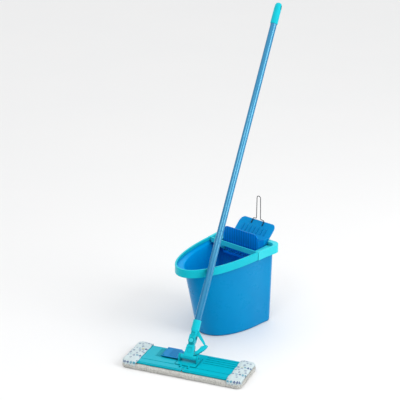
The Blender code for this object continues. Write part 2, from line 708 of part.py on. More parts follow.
def release_pedal():
    """The blue plate beside the joint: pressed, it lets the two wings fold."""
    low = WING_TOP + 0.0040
    outline = [(PEDAL_X0, PEDAL_Y0), (PEDAL_X1 + 0.004, PEDAL_Y0), (PEDAL_X1, PEDAL_Y0 + 0.006),
               (PEDAL_X1, PEDAL_Y1 - 0.012), (PEDAL_X1 - 0.010, PEDAL_Y1), (PEDAL_X0, PEDAL_Y1)]
    obj = prism("release_pedal", outline, low, low + 0.0024, bevel=0.0006)
    parts = []
    for i in range(5):
        x = PEDAL_X1 - 0.012 - i * 0.006
        parts.append(box("grip", (x - 0.001, PEDAL_Y0 + 0.008, low + 0.0015), (x + 0.001, PEDAL_Y1 - 0.010, low + 0.0032)))
    barrel = arc(PEDAL_PIN_X, PEDAL_PIN_Z, 0.0026, 0, 345, 20)
    parts.append(prism("barrel", barrel, PEDAL_Y0 + 0.0125, PEDAL_Y1 - 0.0125, "xz"))
    join(obj, *parts)
    cutters = [rod("hole", (PEDAL_PIN_X, -0.03, PEDAL_PIN_Z), (PEDAL_PIN_X, 0.08, PEDAL_PIN_Z),
                   PEDAL_PIN_RADIUS + RUNNING, 20)]
    for y in (PEDAL_Y0 + 0.006, PEDAL_Y1 - 0.010):
        cutters.append(box("room", (PEDAL_PIN_X - 0.005, y - 0.0008, low - 0.01), (PEDAL_PIN_X + 0.005, y + 0.0048, low + 0.01)))
    cut(obj, *cutters)
    origin = MOP @ Vector((PEDAL_PIN_X, 0, PEDAL_PIN_Z))
    paint(settle(obj, MOP, origin), DEEP_BLUE, 0.36)
    rest = pin("pedal_pin", (PEDAL_PIN_X, PEDAL_Y0 + 0.0040, PEDAL_PIN_Z), (PEDAL_PIN_X, PEDAL_Y1 - 0.0040, PEDAL_PIN_Z),
               PEDAL_PIN_RADIUS, 16)
    return paint(settle(rest, MOP), STEEL, 0.3, 1.0)


def pad_half(side, name):
    half = PAD_WIDTH / 2
    outline = rounded_rect(-0.02, -half, PAD_LENGTH / 2, half, 0.016, 7)
    outline = [(side * x, y) for x, y in outline]
    obj = prism(name, outline, 0.0, PAD_THICK, bevel=0.0045)
    depth = FOLD_HEIGHT
    need = 0.0
    for degrees in range(1, int(FOLD_LIMIT) + 1):
        t = math.radians(degrees)
        need = max(need, (depth * math.sin(t) - FOLD_OFFSET * (1 - math.cos(t))) / math.cos(t))
    under_turret = box("room", (min(-0.01 * side, side * (FOLD_OFFSET + 0.0045)), -NOTCH_Y, -0.01),
                       (max(-0.01 * side, side * (FOLD_OFFSET + 0.0045)), NOTCH_Y, 0.05))
    cut(obj, mitre(side, 0.0024, need + 0.0030, 0.0, PAD_THICK, 0.12), under_turret)
    origin = MOP @ Vector((side * FOLD_OFFSET, 0, FOLD_HEIGHT))
    return paint(settle(obj, MOP, origin), FIBRE, 0.95)


def pocket(side, name):
    """The printed cloth cap over a wing's end, open towards the middle and underneath."""
    cloth = 0.0022
    half = PAD_WIDTH / 2 - 0.0015
    end = PAD_LENGTH / 2 - 0.0015
    top = WING_TOP + 0.0012 + GAP + cloth
    outline = rounded_rect(POCKET_START, -half, end, half, 0.014, 6)
    outline = [(side * x, y) for x, y in outline]
    obj = prism(name, outline, WING_LOW, top, bevel=0.0020)
    inner_end = WING_REACH + 0.0015
    room = rounded_rect(POCKET_START - 0.03, -WING_HALF_WIDTH - 0.0012, inner_end, WING_HALF_WIDTH + 0.0012, 0.0105, 6)
    room = [(side * x, y) for x, y in room]
    cut(obj, prism("room", room, WING_LOW - 0.01, WING_TOP + 0.0012 + GAP))
    origin = MOP @ Vector((side * FOLD_OFFSET, 0, FOLD_HEIGHT))
    return paint(settle(obj, MOP, origin), CLOTH, 0.85)


def turret():
    """The cradle between the wings, with the ears of the pitch joint."""
    outline = rounded_rect(-TURRET_X, -TURRET_Y, TURRET_X, TURRET_Y, 0.004)
    obj = prism("turret", outline, WING_LOW + 0.0004, TURRET_TOP, bevel=0.0008)
    parts = []
    for side in (-1, 1):
        ear = [(0.0125, TURRET_TOP - 0.002)] + arc(0, PITCH_HEIGHT, 0.0090, 0, 180, 12) + [(-0.0125, TURRET_TOP - 0.002)]
        a, b = side * 0.0288, side * 0.0350
        parts.append(prism("ear", ear, min(a, b), max(a, b), "yz", bevel=0.0006))
    join(obj, *parts)
    cutters = [rod("hole", (-0.06, 0, PITCH_HEIGHT), (0.06, 0, PITCH_HEIGHT), PIVOT_PIN_RADIUS + GAP, 16)]
    for side in (-1, 1):
        cutters.append(rod("hole", (side * FOLD_OFFSET, -0.05, FOLD_HEIGHT), (side * FOLD_OFFSET, 0.05, FOLD_HEIGHT),
                           FOLD_PIN_RADIUS + GAP, 16))
    cut(obj, *cutters)
    paint(settle(obj, MOP, MOP @ Vector((0, 0, 0))), DEEP_BLUE, 0.36)
    reach = NOTCH_Y + 0.0110
    for side, name in ((-1, "fold_pin_left"), (1, "fold_pin_right")):
        x = side * FOLD_OFFSET
        rest = pin(name, (x, -reach, FOLD_HEIGHT), (x, reach, FOLD_HEIGHT), FOLD_PIN_RADIUS, 16)
        paint(settle(rest, MOP), STEEL, 0.3, 1.0)
    rest = pin("pitch_pin", (-0.0345, 0, PITCH_HEIGHT), (0.0345, 0, PITCH_HEIGHT), PIVOT_PIN_RADIUS, 16)
    return paint(settle(rest, MOP), STEEL, 0.3, 1.0)


LATCH_X = 0.0195
LATCH_Z = -0.0415       # from the roll pin
LATCH_PIN_RADIUS = 0.0018
CHEEK_IN = 0.0068
CHEEK_OUT = 0.0115


def yoke():
    """The lower link: pitch barrel, body, tongue for the roll pin and lugs for the latch arm."""
    rise = ROLL_RISE
    body = [(-0.0185, -0.001), (0.0185, -0.001), (0.0158, 0.016), (0.0128, rise - 0.0135), (-0.0128, rise - 0.0135),
            (-0.0158, 0.016)]
    obj = prism("yoke", body, -0.0098, 0.0098, "xz", bevel=0.0022)
    barrel_outline = arc(0, 0, 0.0084, 0, 345, 24)
    barrel = prism("barrel", barrel_outline, -0.0280, 0.0280, "yz", bevel=0.0008)
    tongue = [(0.0108, rise - 0.016)] + arc(0, rise, 0.0108, 0, 180, 14) + [(-0.0108, rise - 0.016)]
    parts = [barrel, prism("tongue", tongue, -CHEEK_IN + 0.0005, CHEEK_IN - 0.0005, "xz")]
    for side in (-1, 1):
        lug = arc(LATCH_X, rise + LATCH_Z, 0.0046, -100, 80, 10) + [(0.010, rise + LATCH_Z + 0.008), (0.010, rise + LATCH_Z - 0.006)]
        a, b = side * 0.0058, side * 0.0092
        parts.append(prism("lug", lug, min(a, b), max(a, b), "xz"))
    join(obj, *parts)
    pocket_room = arc(LATCH_X, rise + LATCH_Z, 0.0062, -180, 180, 25)[:-1]
    cutters = [prism("room", pocket_room, -0.0058, 0.0058, "xz"),
               rod("hole", (-0.06, 0, 0), (0.06, 0, 0), PIVOT_PIN_RADIUS + RUNNING, 24),
               rod("hole", (0, -0.03, rise), (0, 0.03, rise), PIVOT_PIN_RADIUS + RUNNING, 24),
               rod("hole", (LATCH_X, -0.03, rise + LATCH_Z), (LATCH_X, 0.03, rise + LATCH_Z), LATCH_PIN_RADIUS + GAP, 16)]
    for side in (-1, 1):
        window = rounded_rect(-0.0070, 0.013, 0.0070, rise - 0.022, 0.0030, 4)
        a, b = side * 0.0086, side * 0.02
        cutters.append(prism("window", window, min(a, b), max(a, b), "xz"))
    cut(obj, *cutters)
    paint(settle(obj, YOKE, YOKE.translation), TURQUOISE, 0.30)
    z = rise + LATCH_Z
    rest = pin("latch_pin", (LATCH_X, -0.0090, z), (LATCH_X, 0.0090, z), LATCH_PIN_RADIUS, 16)
    return paint(settle(rest, YOKE), STEEL, 0.3, 1.0)


def latch_arm():
    """The arm beside the stem: a fork that the socket's strap runs in, ending in a tab."""
    rise = ROLL_RISE
    inner = arc(0, 0, 0.0380, -20, -58, 10)
    outline = [(0.0520, -0.0052), (0.0570, -0.0078), (0.0545, -0.0150), (0.0480, -0.0235), (0.0395, -0.0322),
               (0.0300, -0.0405)]
    outline += arc(LATCH_X, LATCH_Z, 0.0052, -60, -230, 10)
    outline += list(reversed(inner))
    outline += [(0.0415, -0.0108), (0.0470, -0.0065)]
    outline = [(x, z + rise) for x, z in outline]
    obj = prism("latch_arm", outline, -0.0055, 0.0055, "xz", bevel=0.0006)
    sweep = arc(0, rise, 0.0340, 20, -57, 14) + arc(0, rise, 0.0512, -57, 20, 14)
    slot = prism("slot", sweep, -0.0036, 0.0036, "xz")
    hole = rod("hole", (LATCH_X, -0.03, rise + LATCH_Z), (LATCH_X, 0.03, rise + LATCH_Z), LATCH_PIN_RADIUS + RUNNING, 24)
    cut(obj, slot, hole)
    origin = YOKE @ Vector((LATCH_X, 0, rise + LATCH_Z))
    return paint(settle(obj, YOKE, origin), TURQUOISE, 0.30)


def socket():
    """The upper link: collar and stud for the tube, fork for the roll pin and the strap of the bow."""
    c = COLLAR_RADIUS
    profile = [(0.0001, 0.0150), (0.0108, 0.0150), (0.0118, 0.0160), (c - 0.0016, 0.0330), (c - 0.0004, 0.0350),
               (c, 0.0370), (c, 0.0690), (c - 0.0006, 0.0710), (TUBE_RADIUS + GAP, 0.0710),
               (TUBE_RADIUS + GAP, 0.0400), (0.0062, 0.0400)]
    for i in range(3):
        z = 0.0430 + i * 0.0060
        profile += [(0.0062, z), (0.0056, z + 0.0009), (0.0056, z + 0.0018), (0.0062, z + 0.0027)]
    profile += [(0.0062, 0.0640), (0.0052, 0.0655), (0.0001, 0.0655)]
    obj = revolve("socket", profile, 28)
    parts = []
    for side in (-1, 1):
        cheek = [(0.0114, 0.0200)] + arc(0, 0, 0.0114, 0, -180, 16) + [(-0.0114, 0.0200)]
        a, b = side * CHEEK_IN, side * (CHEEK_OUT - 0.0005)
        parts.append(prism("cheek", cheek, min(a, b), max(a, b), "xz", bevel=0.0005))
    outer = [(0.0085, 0.0400), (0.0150, 0.0350), (0.0280, 0.0210), (0.0405, 0.0080), (0.0470, 0.0005)]
    tip = [(0.0478, -0.0032), (0.0455, -0.0048), (0.0420, -0.0040)]
    inner = [(0.0355, 0.0020), (0.0260, 0.0095), (0.0185, 0.0165), (0.0085, 0.0210)]
    parts.append(prism("strap", outer + tip + inner, -0.0031, 0.0031, "xz", bevel=0.0007))
    join(obj, *parts)
    cutters = [rod("hole", (0, -0.03, 0), (0, 0.03, 0), PIVOT_PIN_RADIUS + GAP, 16)]
    window = rounded_rect(-0.0062, 0.0165, 0.0062, 0.0300, 0.0025, 4)
    cutters.append(prism("recess", window, -0.02, -0.0088, "xz"))
    cut(obj, *cutters)
    paint(settle(obj, STEM, STEM.translation), TURQUOISE, 0.30)
    rest = pin("roll_pin", (0, -0.0105, 0), (0, 0.0105, 0), PIVOT_PIN_RADIUS, 16)
    paint(settle(rest, STEM), STEEL, 0.3, 1.0)
    ring = [(0.0001, 0.0), (0.0086, 0.0), (0.0094, 0.0008), (0.0094, 0.0016), (0.0086, 0.0024), (0.0070, 0.0024),
            (0.0062, 0.0014), (0.0050, 0.0014), (0.0042, 0.0022), (0.0001, 0.0024)]
    turn = Matrix.Translation((0, -CHEEK_OUT + 0.0005 - GAP, 0)) @ Matrix.Rotation(math.pi / 2, 4, "X")
    button = revolve("boss_button", ring, 24, turn)
    return paint(settle(button, STEM), PALE_TURQUOISE, 0.25)


def handle():
    """Tube, its threaded plug and the end cap with a hanging hole."""
    top = HANDLE_REACH - ROLL_RISE
    low = 0.0400 + GAP
    high = top - HANG_TOP - HANG_HEIGHT - 0.006
    inside = TUBE_RADIUS - TUBE_WALL
    profile = [(TUBE_RADIUS, low), (TUBE_RADIUS, high), (inside, high), (inside, low)]
    tube = revolve("handle_tube", profile, 32, None, True)
    paint(settle(tube, STEM, STEM.translation), BLUE, 0.22)
    body = inside - GAP
    profile = [(0.0065, low), (body, low), (body, low + 0.030), (body - 0.001, low + 0.031), (0.0065, low + 0.031)]
    plug = revolve("tube_plug", profile, 28, None, True)
    paint(settle(plug, STEM), DEEP_BLUE, 0.5)
    r = CAP_RADIUS
    bottom = top - CAP_LENGTH
    profile = [(TUBE_RADIUS + GAP, bottom), (r - 0.0010, bottom), (r - 0.0002, bottom + 0.0010),
               (r, bottom + 0.006), (r - 0.0004, top - 0.022), (r - 0.0012, top - 0.009), (r - 0.0040, top - 0.002),
               (r - 0.0075, top), (0.0001, top), (0.0001, high + GAP), (TUBE_RADIUS + GAP, high + GAP)]
    cap = revolve("handle_cap", profile, 28, None, True)
    slot = rounded_rect(-HANG_WIDTH / 2, top - HANG_TOP - HANG_HEIGHT, HANG_WIDTH / 2, top - HANG_TOP, HANG_WIDTH * 0.45)
    cut(cap, prism("slot", slot, -0.03, 0.03, "yz"))
    return paint(settle(cap, STEM), TURQUOISE, 0.35)


clear_scene()
bucket_shell()
rim_band()
wringer_frame()
jaw_pins()
sieve_tray()
front_jaw()
rear_jaw()
guide_wire()
turret()
wing(-1, "left_wing")
wing(1, "right_wing")
release_pedal()
pad_half(-1, "pad_left")
pad_half(1, "pad_right")
pocket(-1, "pocket_left")
pocket(1, "pocket_right")
yoke()
latch_arm()
socket()
handle()
for item in bpy.data.objects:
    item.data.validate()
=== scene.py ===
"""Mop and bucket with wringer: the moulded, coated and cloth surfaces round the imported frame.

Metres, +Z up. +X runs along the bucket towards the wringer. The mop head has a frame of its own: x along
the head, y across it in the direction that the handle leans, z up from the floor.
"""
import json
import math

import bpy
import numpy as np
from bpy.props import FloatProperty, FloatVectorProperty, IntProperty, PointerProperty
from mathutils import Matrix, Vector


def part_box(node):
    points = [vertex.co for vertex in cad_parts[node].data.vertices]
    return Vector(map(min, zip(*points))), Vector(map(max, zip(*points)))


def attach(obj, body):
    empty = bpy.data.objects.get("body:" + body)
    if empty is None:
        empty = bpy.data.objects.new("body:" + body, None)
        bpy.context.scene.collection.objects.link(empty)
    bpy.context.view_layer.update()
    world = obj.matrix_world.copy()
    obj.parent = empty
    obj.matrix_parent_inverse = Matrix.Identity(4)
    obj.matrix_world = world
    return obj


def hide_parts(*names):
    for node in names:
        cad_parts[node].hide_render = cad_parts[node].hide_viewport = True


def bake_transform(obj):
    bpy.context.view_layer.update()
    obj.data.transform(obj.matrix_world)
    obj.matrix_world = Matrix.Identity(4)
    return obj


bl_info = {
    "name": "Mop and Bucket with Wringer",
    "version": (1, 0, 0),
    "blender": (4, 5, 0),
    "location": "View3D > Sidebar > Mop Bucket",
    "description": "Finishes a flat mop, its bucket and the wringer on the rim",
    "category": "Object",
}

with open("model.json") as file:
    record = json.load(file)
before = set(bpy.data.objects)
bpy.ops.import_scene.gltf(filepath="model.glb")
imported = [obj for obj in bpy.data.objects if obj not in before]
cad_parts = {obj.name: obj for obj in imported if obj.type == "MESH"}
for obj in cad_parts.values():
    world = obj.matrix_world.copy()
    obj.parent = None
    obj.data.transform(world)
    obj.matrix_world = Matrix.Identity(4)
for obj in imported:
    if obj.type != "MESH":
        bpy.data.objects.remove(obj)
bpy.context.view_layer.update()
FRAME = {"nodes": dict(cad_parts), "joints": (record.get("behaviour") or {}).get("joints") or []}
JOINTS = {joint["name"]: joint for joint in FRAME["joints"]}

GAP = 0.0003


# ---- frame of the mop head -----------------------------------------------------------------------
PITCH_AT = np.array(JOINTS["handle_pitch"]["pos_m"], float)
FOLD_RIGHT = np.array(JOINTS["fold_right"]["pos_m"], float)
FOLD_LEFT = np.array(JOINTS["fold_left"]["pos_m"], float)
HEAD_X = (FOLD_RIGHT - FOLD_LEFT) / np.linalg.norm(FOLD_RIGHT - FOLD_LEFT)
HEAD_Y = np.array([-HEAD_X[1], HEAD_X[0], 0.0])
HEAD_AT = np.array([PITCH_AT[0], PITCH_AT[1], 0.0])


def on_head(points):
    """Turn points from the mop head's frame into the row's frame: place + x e1 + y e2 + z up."""
    points = np.asarray(points, float)
    flat = points[..., 0:1] * HEAD_X + points[..., 1:2] * HEAD_Y
    flat[..., 2] += points[..., 2]
    return flat + HEAD_AT


# ---- surfaces as arrays --------------------------------------------------------------------------
def grid_quads(rows, cols, wrap_rows=False, wrap_cols=False):
    """Corner numbers of the quads of a grid of points, wrapped round where it is closed."""
    r = np.arange(rows if wrap_rows else rows - 1)
    c = np.arange(cols if wrap_cols else cols - 1)
    r, c = np.meshgrid(r, c, indexing="ij")
    r2, c2 = (r + 1) % rows, (c + 1) % cols
    quads = np.stack([r * cols + c, r * cols + c2, r2 * cols + c2, r2 * cols + c], -1)
    return quads.reshape(-1, 4)


def ring_fan(start, count, centre, backwards=False):
    """Triangles from one ring of points to a point in its middle."""
    i = np.arange(count)
    a, b = start + i, start + (i + 1) % count
    fan = np.stack([b, a] if backwards else [a, b], 1)
    return np.concatenate([fan, np.full((count, 1), centre)], 1)


def make_piece(name, points, face_sets, uv=None, smooth=True):
    """One mesh object at the origin from an array of points and arrays of faces; uv is per point."""
    mesh = bpy.data.meshes.new(name)
    points = np.asarray(points, float).reshape(-1, 3)
    loops = np.concatenate([np.asarray(f, np.int32).ravel() for f in face_sets])
    sizes = np.concatenate([np.full(len(f), np.asarray(f).shape[1], np.int32) for f in face_sets])
    starts = np.concatenate([[0], np.cumsum(sizes)[:-1]]).astype(np.int32)
    mesh.vertices.add(len(points))
    mesh.vertices.foreach_set("co", points.astype(np.float32).ravel())
    mesh.loops.add(len(loops))
    mesh.loops.foreach_set("vertex_index", loops.astype(np.int32))
    mesh.polygons.add(len(sizes))
    mesh.polygons.foreach_set("loop_start", starts)
    mesh.update(calc_edges=True)
    mesh.validate()
    if uv is not None:
        layer = mesh.uv_layers.new(name="cloth")
        corner = np.zeros(len(mesh.loops), np.int32)
        mesh.loops.foreach_get("vertex_index", corner)
        layer.data.foreach_set("uv", np.asarray(uv, np.float32)[corner].ravel())
    mesh.polygons.foreach_set("use_smooth", np.full(len(mesh.polygons), smooth))
    piece = bpy.data.objects.new(name, mesh)
    bpy.context.scene.collection.objects.link(piece)
    face_outwards(piece)
    return piece


def face_outwards(piece):
    """Turn all the faces of a closed or nearly closed mesh outwards, by the sign of its volume."""
    mesh = piece.data
    mesh.calc_loop_triangles()
    points = np.zeros(len(mesh.vertices) * 3)
    mesh.vertices.foreach_get("co", points)
    points = points.reshape(-1, 3)
    corners = np.zeros(len(mesh.loop_triangles) * 3, np.int32)
    mesh.loop_triangles.foreach_get("vertices", corners)
    a, b, c = (points[corners.reshape(-1, 3)[:, k]] - points.mean(0) for k in range(3))
    if (a * np.cross(b, c)).sum() < 0:
        mesh.flip_normals()


def sharpen(piece, degrees):
    """Keep edges sharper than the given angle crisp."""
    piece.data.set_sharp_from_angle(angle=math.radians(degrees))


def hashed(cells, seed):
    """A repeatable number from 0 to 1 for each whole-number cell: the fraction of a large sine."""
    mixed = cells @ np.array([127.1, 311.7, 74.7]) + seed * 53.3
    return np.modf(np.abs(np.sin(mixed) * 43758.5453))[0]


def lumps(points, size, seed):
    """Smooth noise from -1 to 1: cell-corner numbers blended with the cubic 3t^2 - 2t^3 along each axis."""
    scaled = points / np.asarray(size, float)
    cell = np.floor(scaled)
    t = scaled - cell
    t = t * t * (3 - 2 * t)
    total = np.zeros(points.shape[:-1])
    for corner in np.ndindex(2, 2, 2):
        weight = np.prod(np.where(np.array(corner) == 1, t, 1 - t), -1)
        total += weight * hashed(cell + np.array(corner), seed)
    return 2 * total - 1


def smooth_step(low, high, value):
    """0 below low, 1 above high, and 3t^2 - 2t^3 between."""
    t = np.clip((value - low) / (high - low), 0, 1)
    return t * t * (3 - 2 * t)


# ---- outline of the bucket -----------------------------------------------------------------------
PLAN_SHIFT = 0.069
NOSE_POWER = 2.09
SIDE_SPREAD = 0.125
SPREAD_EASE = 0.030
CORNER = 0.026
SEAM = 0.034
RIM = 0.290
NOSE_REACH = 0.3165
HALF_WIDTH = 0.1135
BAND_DEPTH = 0.0285
NOSE_COUNT = 220


def spread_at(u):
    """Widening of the sides at distance u behind the plan centre: none, then a parabola, then straight."""
    eased = (u + SPREAD_EASE) ** 2 / (4 * SPREAD_EASE)
    return SIDE_SPREAD * np.where(u <= -SPREAD_EASE, 0.0, np.where(u >= SPREAD_EASE, u, eased))


def nose_curve(nose, half, turn):
    """Superellipse |u/nose|^p + |v/half|^p = 1 on the nose side, with the sides' widening added."""
    c = np.abs(np.cos(turn)) ** (2 / NOSE_POWER)
    s = np.sign(np.sin(turn)) * np.abs(np.sin(turn)) ** (2 / NOSE_POWER)
    u = -nose * c
    return np.stack([u, half * s + np.sign(s) * spread_at(u)], -1)


def front_outline(nose, half):
    """The nose's curve from one seam round to the other, seen from above."""
    start = math.asin((SEAM / nose) ** (NOSE_POWER / 2))
    return nose_curve(nose, half, np.linspace(math.pi / 2 + start, 3 * math.pi / 2 - start, NOSE_COUNT))


def full_outline(nose, rear, half, corner):
    """The whole outline: nose, spreading sides, quarter-round rear corners and a straight rear."""
    front = nose_curve(nose, half, np.linspace(math.pi / 2, 3 * math.pi / 2, NOSE_COUNT))
    lean = math.atan(SIDE_SPREAD)
    centre_u = rear - corner
    centre_v = half + SIDE_SPREAD * centre_u - corner / math.cos(lean)
    turn = np.linspace(-math.pi / 2 - lean, 0, 22)
    bend = np.stack([centre_u + corner * np.cos(turn), -centre_v + corner * np.sin(turn)], 1)
    u = np.linspace(0, bend[0, 0], 14)[1:-1]
    side = np.stack([u, -half - spread_at(u)], 1)
    back = np.stack([np.full(20, rear), np.linspace(bend[-1, 1], -bend[-1, 1], 22)[1:-1]], 1)
    near = np.concatenate([side, bend])
    return np.concatenate([front, near, back, near[::-1] * [1, -1]])


def lifted(outline, height):
    """An outline put at a height, in the row's frame."""
    out = np.zeros((len(outline), 3))
    out[:, 0] = outline[:, 0] + PLAN_SHIFT
    out[:, 1] = outline[:, 1]
    out[:, 2] = height
    return out


# ---- materials -----------------------------------------------------------------------------------
class Graph:
    """Small shorthand for one material's nodes."""

    def __init__(self, name):
        self.material = bpy.data.materials.new(name)
        self.material.use_nodes = True
        self.nodes = self.material.node_tree.nodes
        self.links = self.material.node_tree.links
        self.shader = self.nodes["Principled BSDF"]
        self.coords = self.nodes.new("ShaderNodeTexCoord")

    def add(self, kind, settings=(), **inputs):
        """A node with its settings, and its inputs set to numbers or joined to other nodes' outputs."""
        node = self.nodes.new(kind)
        for key, value in dict(settings).items():
            setattr(node, key, value)
        for key, value in inputs.items():
            name = int(key[1:]) if key[0] == "i" and key[1:].isdigit() else key.replace("_", " ")
            self.feed(node.inputs[name], value)
        return node

    def feed(self, socket, value):
        if isinstance(value, bpy.types.NodeSocket):
            self.links.new(value, socket)
        elif isinstance(value, bpy.types.Node):
            self.links.new(value.outputs[0], socket)
        else:
            socket.default_value = value

    def math(self, operation, a, b=0.0, clamp=False):
        return self.add("ShaderNodeMath", {"operation": operation, "use_clamp": clamp}, i0=a, i1=b).outputs[0]

    def mix(self, share, a, b):
        node = self.nodes.new("ShaderNodeMix")
        node.data_type = "RGBA"
        colours = [s for s in node.inputs if s.type == "RGBA"]
        self.feed(node.inputs[0], share)
        self.feed(colours[0], a)
        self.feed(colours[1], b)
        return next(s for s in node.outputs if s.type == "RGBA")

    def noise(self, scale, detail=2.0, roughness=0.5, vector=None):
        where = self.coords.outputs["Object"] if vector is None else vector
        settings = {"Scale": scale, "Detail": detail, "Roughness": roughness}
        return self.add("ShaderNodeTexNoise", Vector=where, **settings).outputs[0]

    def spread(self, value, low, high, to_low, to_high):
        node = self.add("ShaderNodeMapRange", {"clamp": True}, Value=value)
        for key, number in zip(("From Min", "From Max", "To Min", "To Max"), (low, high, to_low, to_high)):
            self.feed(node.inputs[key], number)
        return node.outputs[0]

    def bump(self, height, strength, distance, normal=None):
        node = self.add("ShaderNodeBump", Height=height, Strength=strength, Distance=distance)
        if normal is not None:
            self.feed(node.inputs["Normal"], normal)
        return node.outputs[0]

    def out(self, **inputs):
        for key, value in inputs.items():
            self.feed(self.shader.inputs[key.replace("_", " ")], value)
        return self.material


def rgba(colour):
    return (*colour, 1.0)


def tint(colour, share):
    """A colour made darker (share under 1) or lighter."""
    return [c * share for c in colour]


def moulded(name, light, deep, roughness, edge=0.0007, grain=0.10, gloss=0.30, rib_shade_spacing=0.0):
    """Injection-moulded plastic: cloudy colour, faint flow lines, painted shade darkening creases and
    recesses, darker bars as painted shade of ribs when a rib spacing is given, fine spark-eroded grain and
    eased edges.
    """
    g = Graph(name)
    cloud = g.spread(g.noise(9.0, 3.0), 0.30, 0.70, 0.0, 1.0)
    flow = g.noise(60.0, 2.0, vector=g.add("ShaderNodeMapping", Vector=g.coords.outputs["Object"],
                                           Scale=(1.0, 1.0, 0.18)).outputs[0])
    share = g.math("MULTIPLY", g.math("ADD", cloud, g.math("MULTIPLY", flow, 0.35)), 0.70, clamp=True)
    colour = g.mix(share, rgba(light), rgba(deep))
    # painted shade: darker bars across the surface at the rib spacing stand in for the shade between ribs
    if rib_shade_spacing:
        rib_shade_bars = g.add("ShaderNodeTexWave", {"bands_direction": "Y"}, Vector=g.coords.outputs["Object"],
                     Scale=math.pi / (10 * rib_shade_spacing), Distortion=0.6, Detail=1.0).outputs[0]
        colour = g.mix(g.spread(rib_shade_bars, 0.35, 0.95, 0.0, 0.55), colour, rgba(tint(deep, 0.55)))
    # painted shade: ambient occlusion darkens the colour towards a deep tone in creases, recesses and between
    # parts
    openness_for_painted_shade = g.add("ShaderNodeAmbientOcclusion", {"samples": 8}, Distance=0.010).outputs["AO"]
    colour = g.mix(g.spread(openness_for_painted_shade, 0.25, 0.95, 0.60, 0.0), colour, rgba(tint(deep, 0.30)))
    pits = g.noise(1400.0, 2.0)
    scuffs = g.spread(g.noise(22.0, 4.0, 0.65), 0.35, 0.75, roughness, roughness + 0.09)
    eased = g.add("ShaderNodeBevel", {"samples": 6}, Radius=edge).outputs[0]
    normal = g.bump(pits, grain, 0.00012, eased)
    return g.out(Base_Color=colour, Roughness=scuffs, Normal=normal, Specular_IOR_Level=gloss,
                 Specular_Tint=rgba([min(1.0, 0.10 + 1.4 * c) for c in light]))


def coated_tube(name, light, deep):
    """Powder-coated steel tube: glossy colour with faint lengthwise drawing lines and hairline scuffs."""
    g = Graph(name)
    cloud = g.noise(14.0, 3.0)
    colour = g.mix(cloud, rgba(light), rgba(deep))
    orange_peel = g.noise(420.0, 2.0)
    hair = g.spread(g.noise(90.0, 4.0, 0.7), 0.35, 0.80, 0.10, 0.20)
    normal = g.bump(orange_peel, 0.10, 0.0002)
    return g.out(Base_Color=colour, Roughness=hair, Normal=normal, IOR=2.2,
                 Specular_Tint=(0.40, 0.88, 1.0, 1.0))


def bright_steel(name, tone):
    """Drawn steel: dark, slightly mottled metal."""
    g = Graph(name)
    mottled = g.mix(g.noise(160.0, 3.0), rgba(tone), rgba(tint(tone, 0.45)))
    rough = g.spread(g.noise(300.0, 2.0), 0.3, 0.7, 0.24, 0.42)
    normal = g.bump(g.noise(900.0), 0.12, 0.0001)
    return g.out(Base_Color=mottled, Roughness=rough, Metallic=1.0, Normal=normal)


def looped_pile(name, light, deep):
    """Microfibre loops: pale tufts with painted shade between them, soft and without gloss."""
    g = Graph(name)
    tufts = g.add("ShaderNodeTexVoronoi", {"feature": "F1"}, Vector=g.coords.outputs["Object"],
                  Scale=270.0).outputs[0]
    # painted shade: the colour darkens away from each tuft's middle, where shade falls between the loops
    shade = g.spread(tufts, 0.15, 0.75, 0.0, 1.0)
    patches = g.noise(45.0, 3.0)
    both = g.math("ADD", g.math("MULTIPLY", shade, 0.75), g.math("MULTIPLY", patches, 0.55))
    share = g.math("MULTIPLY", both, 0.85, clamp=True)
    colour = g.mix(share, rgba(light), rgba(deep))
    fibre = g.noise(1500.0, 3.0)
    normal = g.bump(fibre, 0.45, 0.0006, g.bump(g.math("SUBTRACT", 1.0, tufts), 0.9, 0.0016))
    return g.out(Base_Color=colour, Roughness=0.96, Normal=normal, Sheen_Weight=0.25, Sheen_Roughness=0.6)


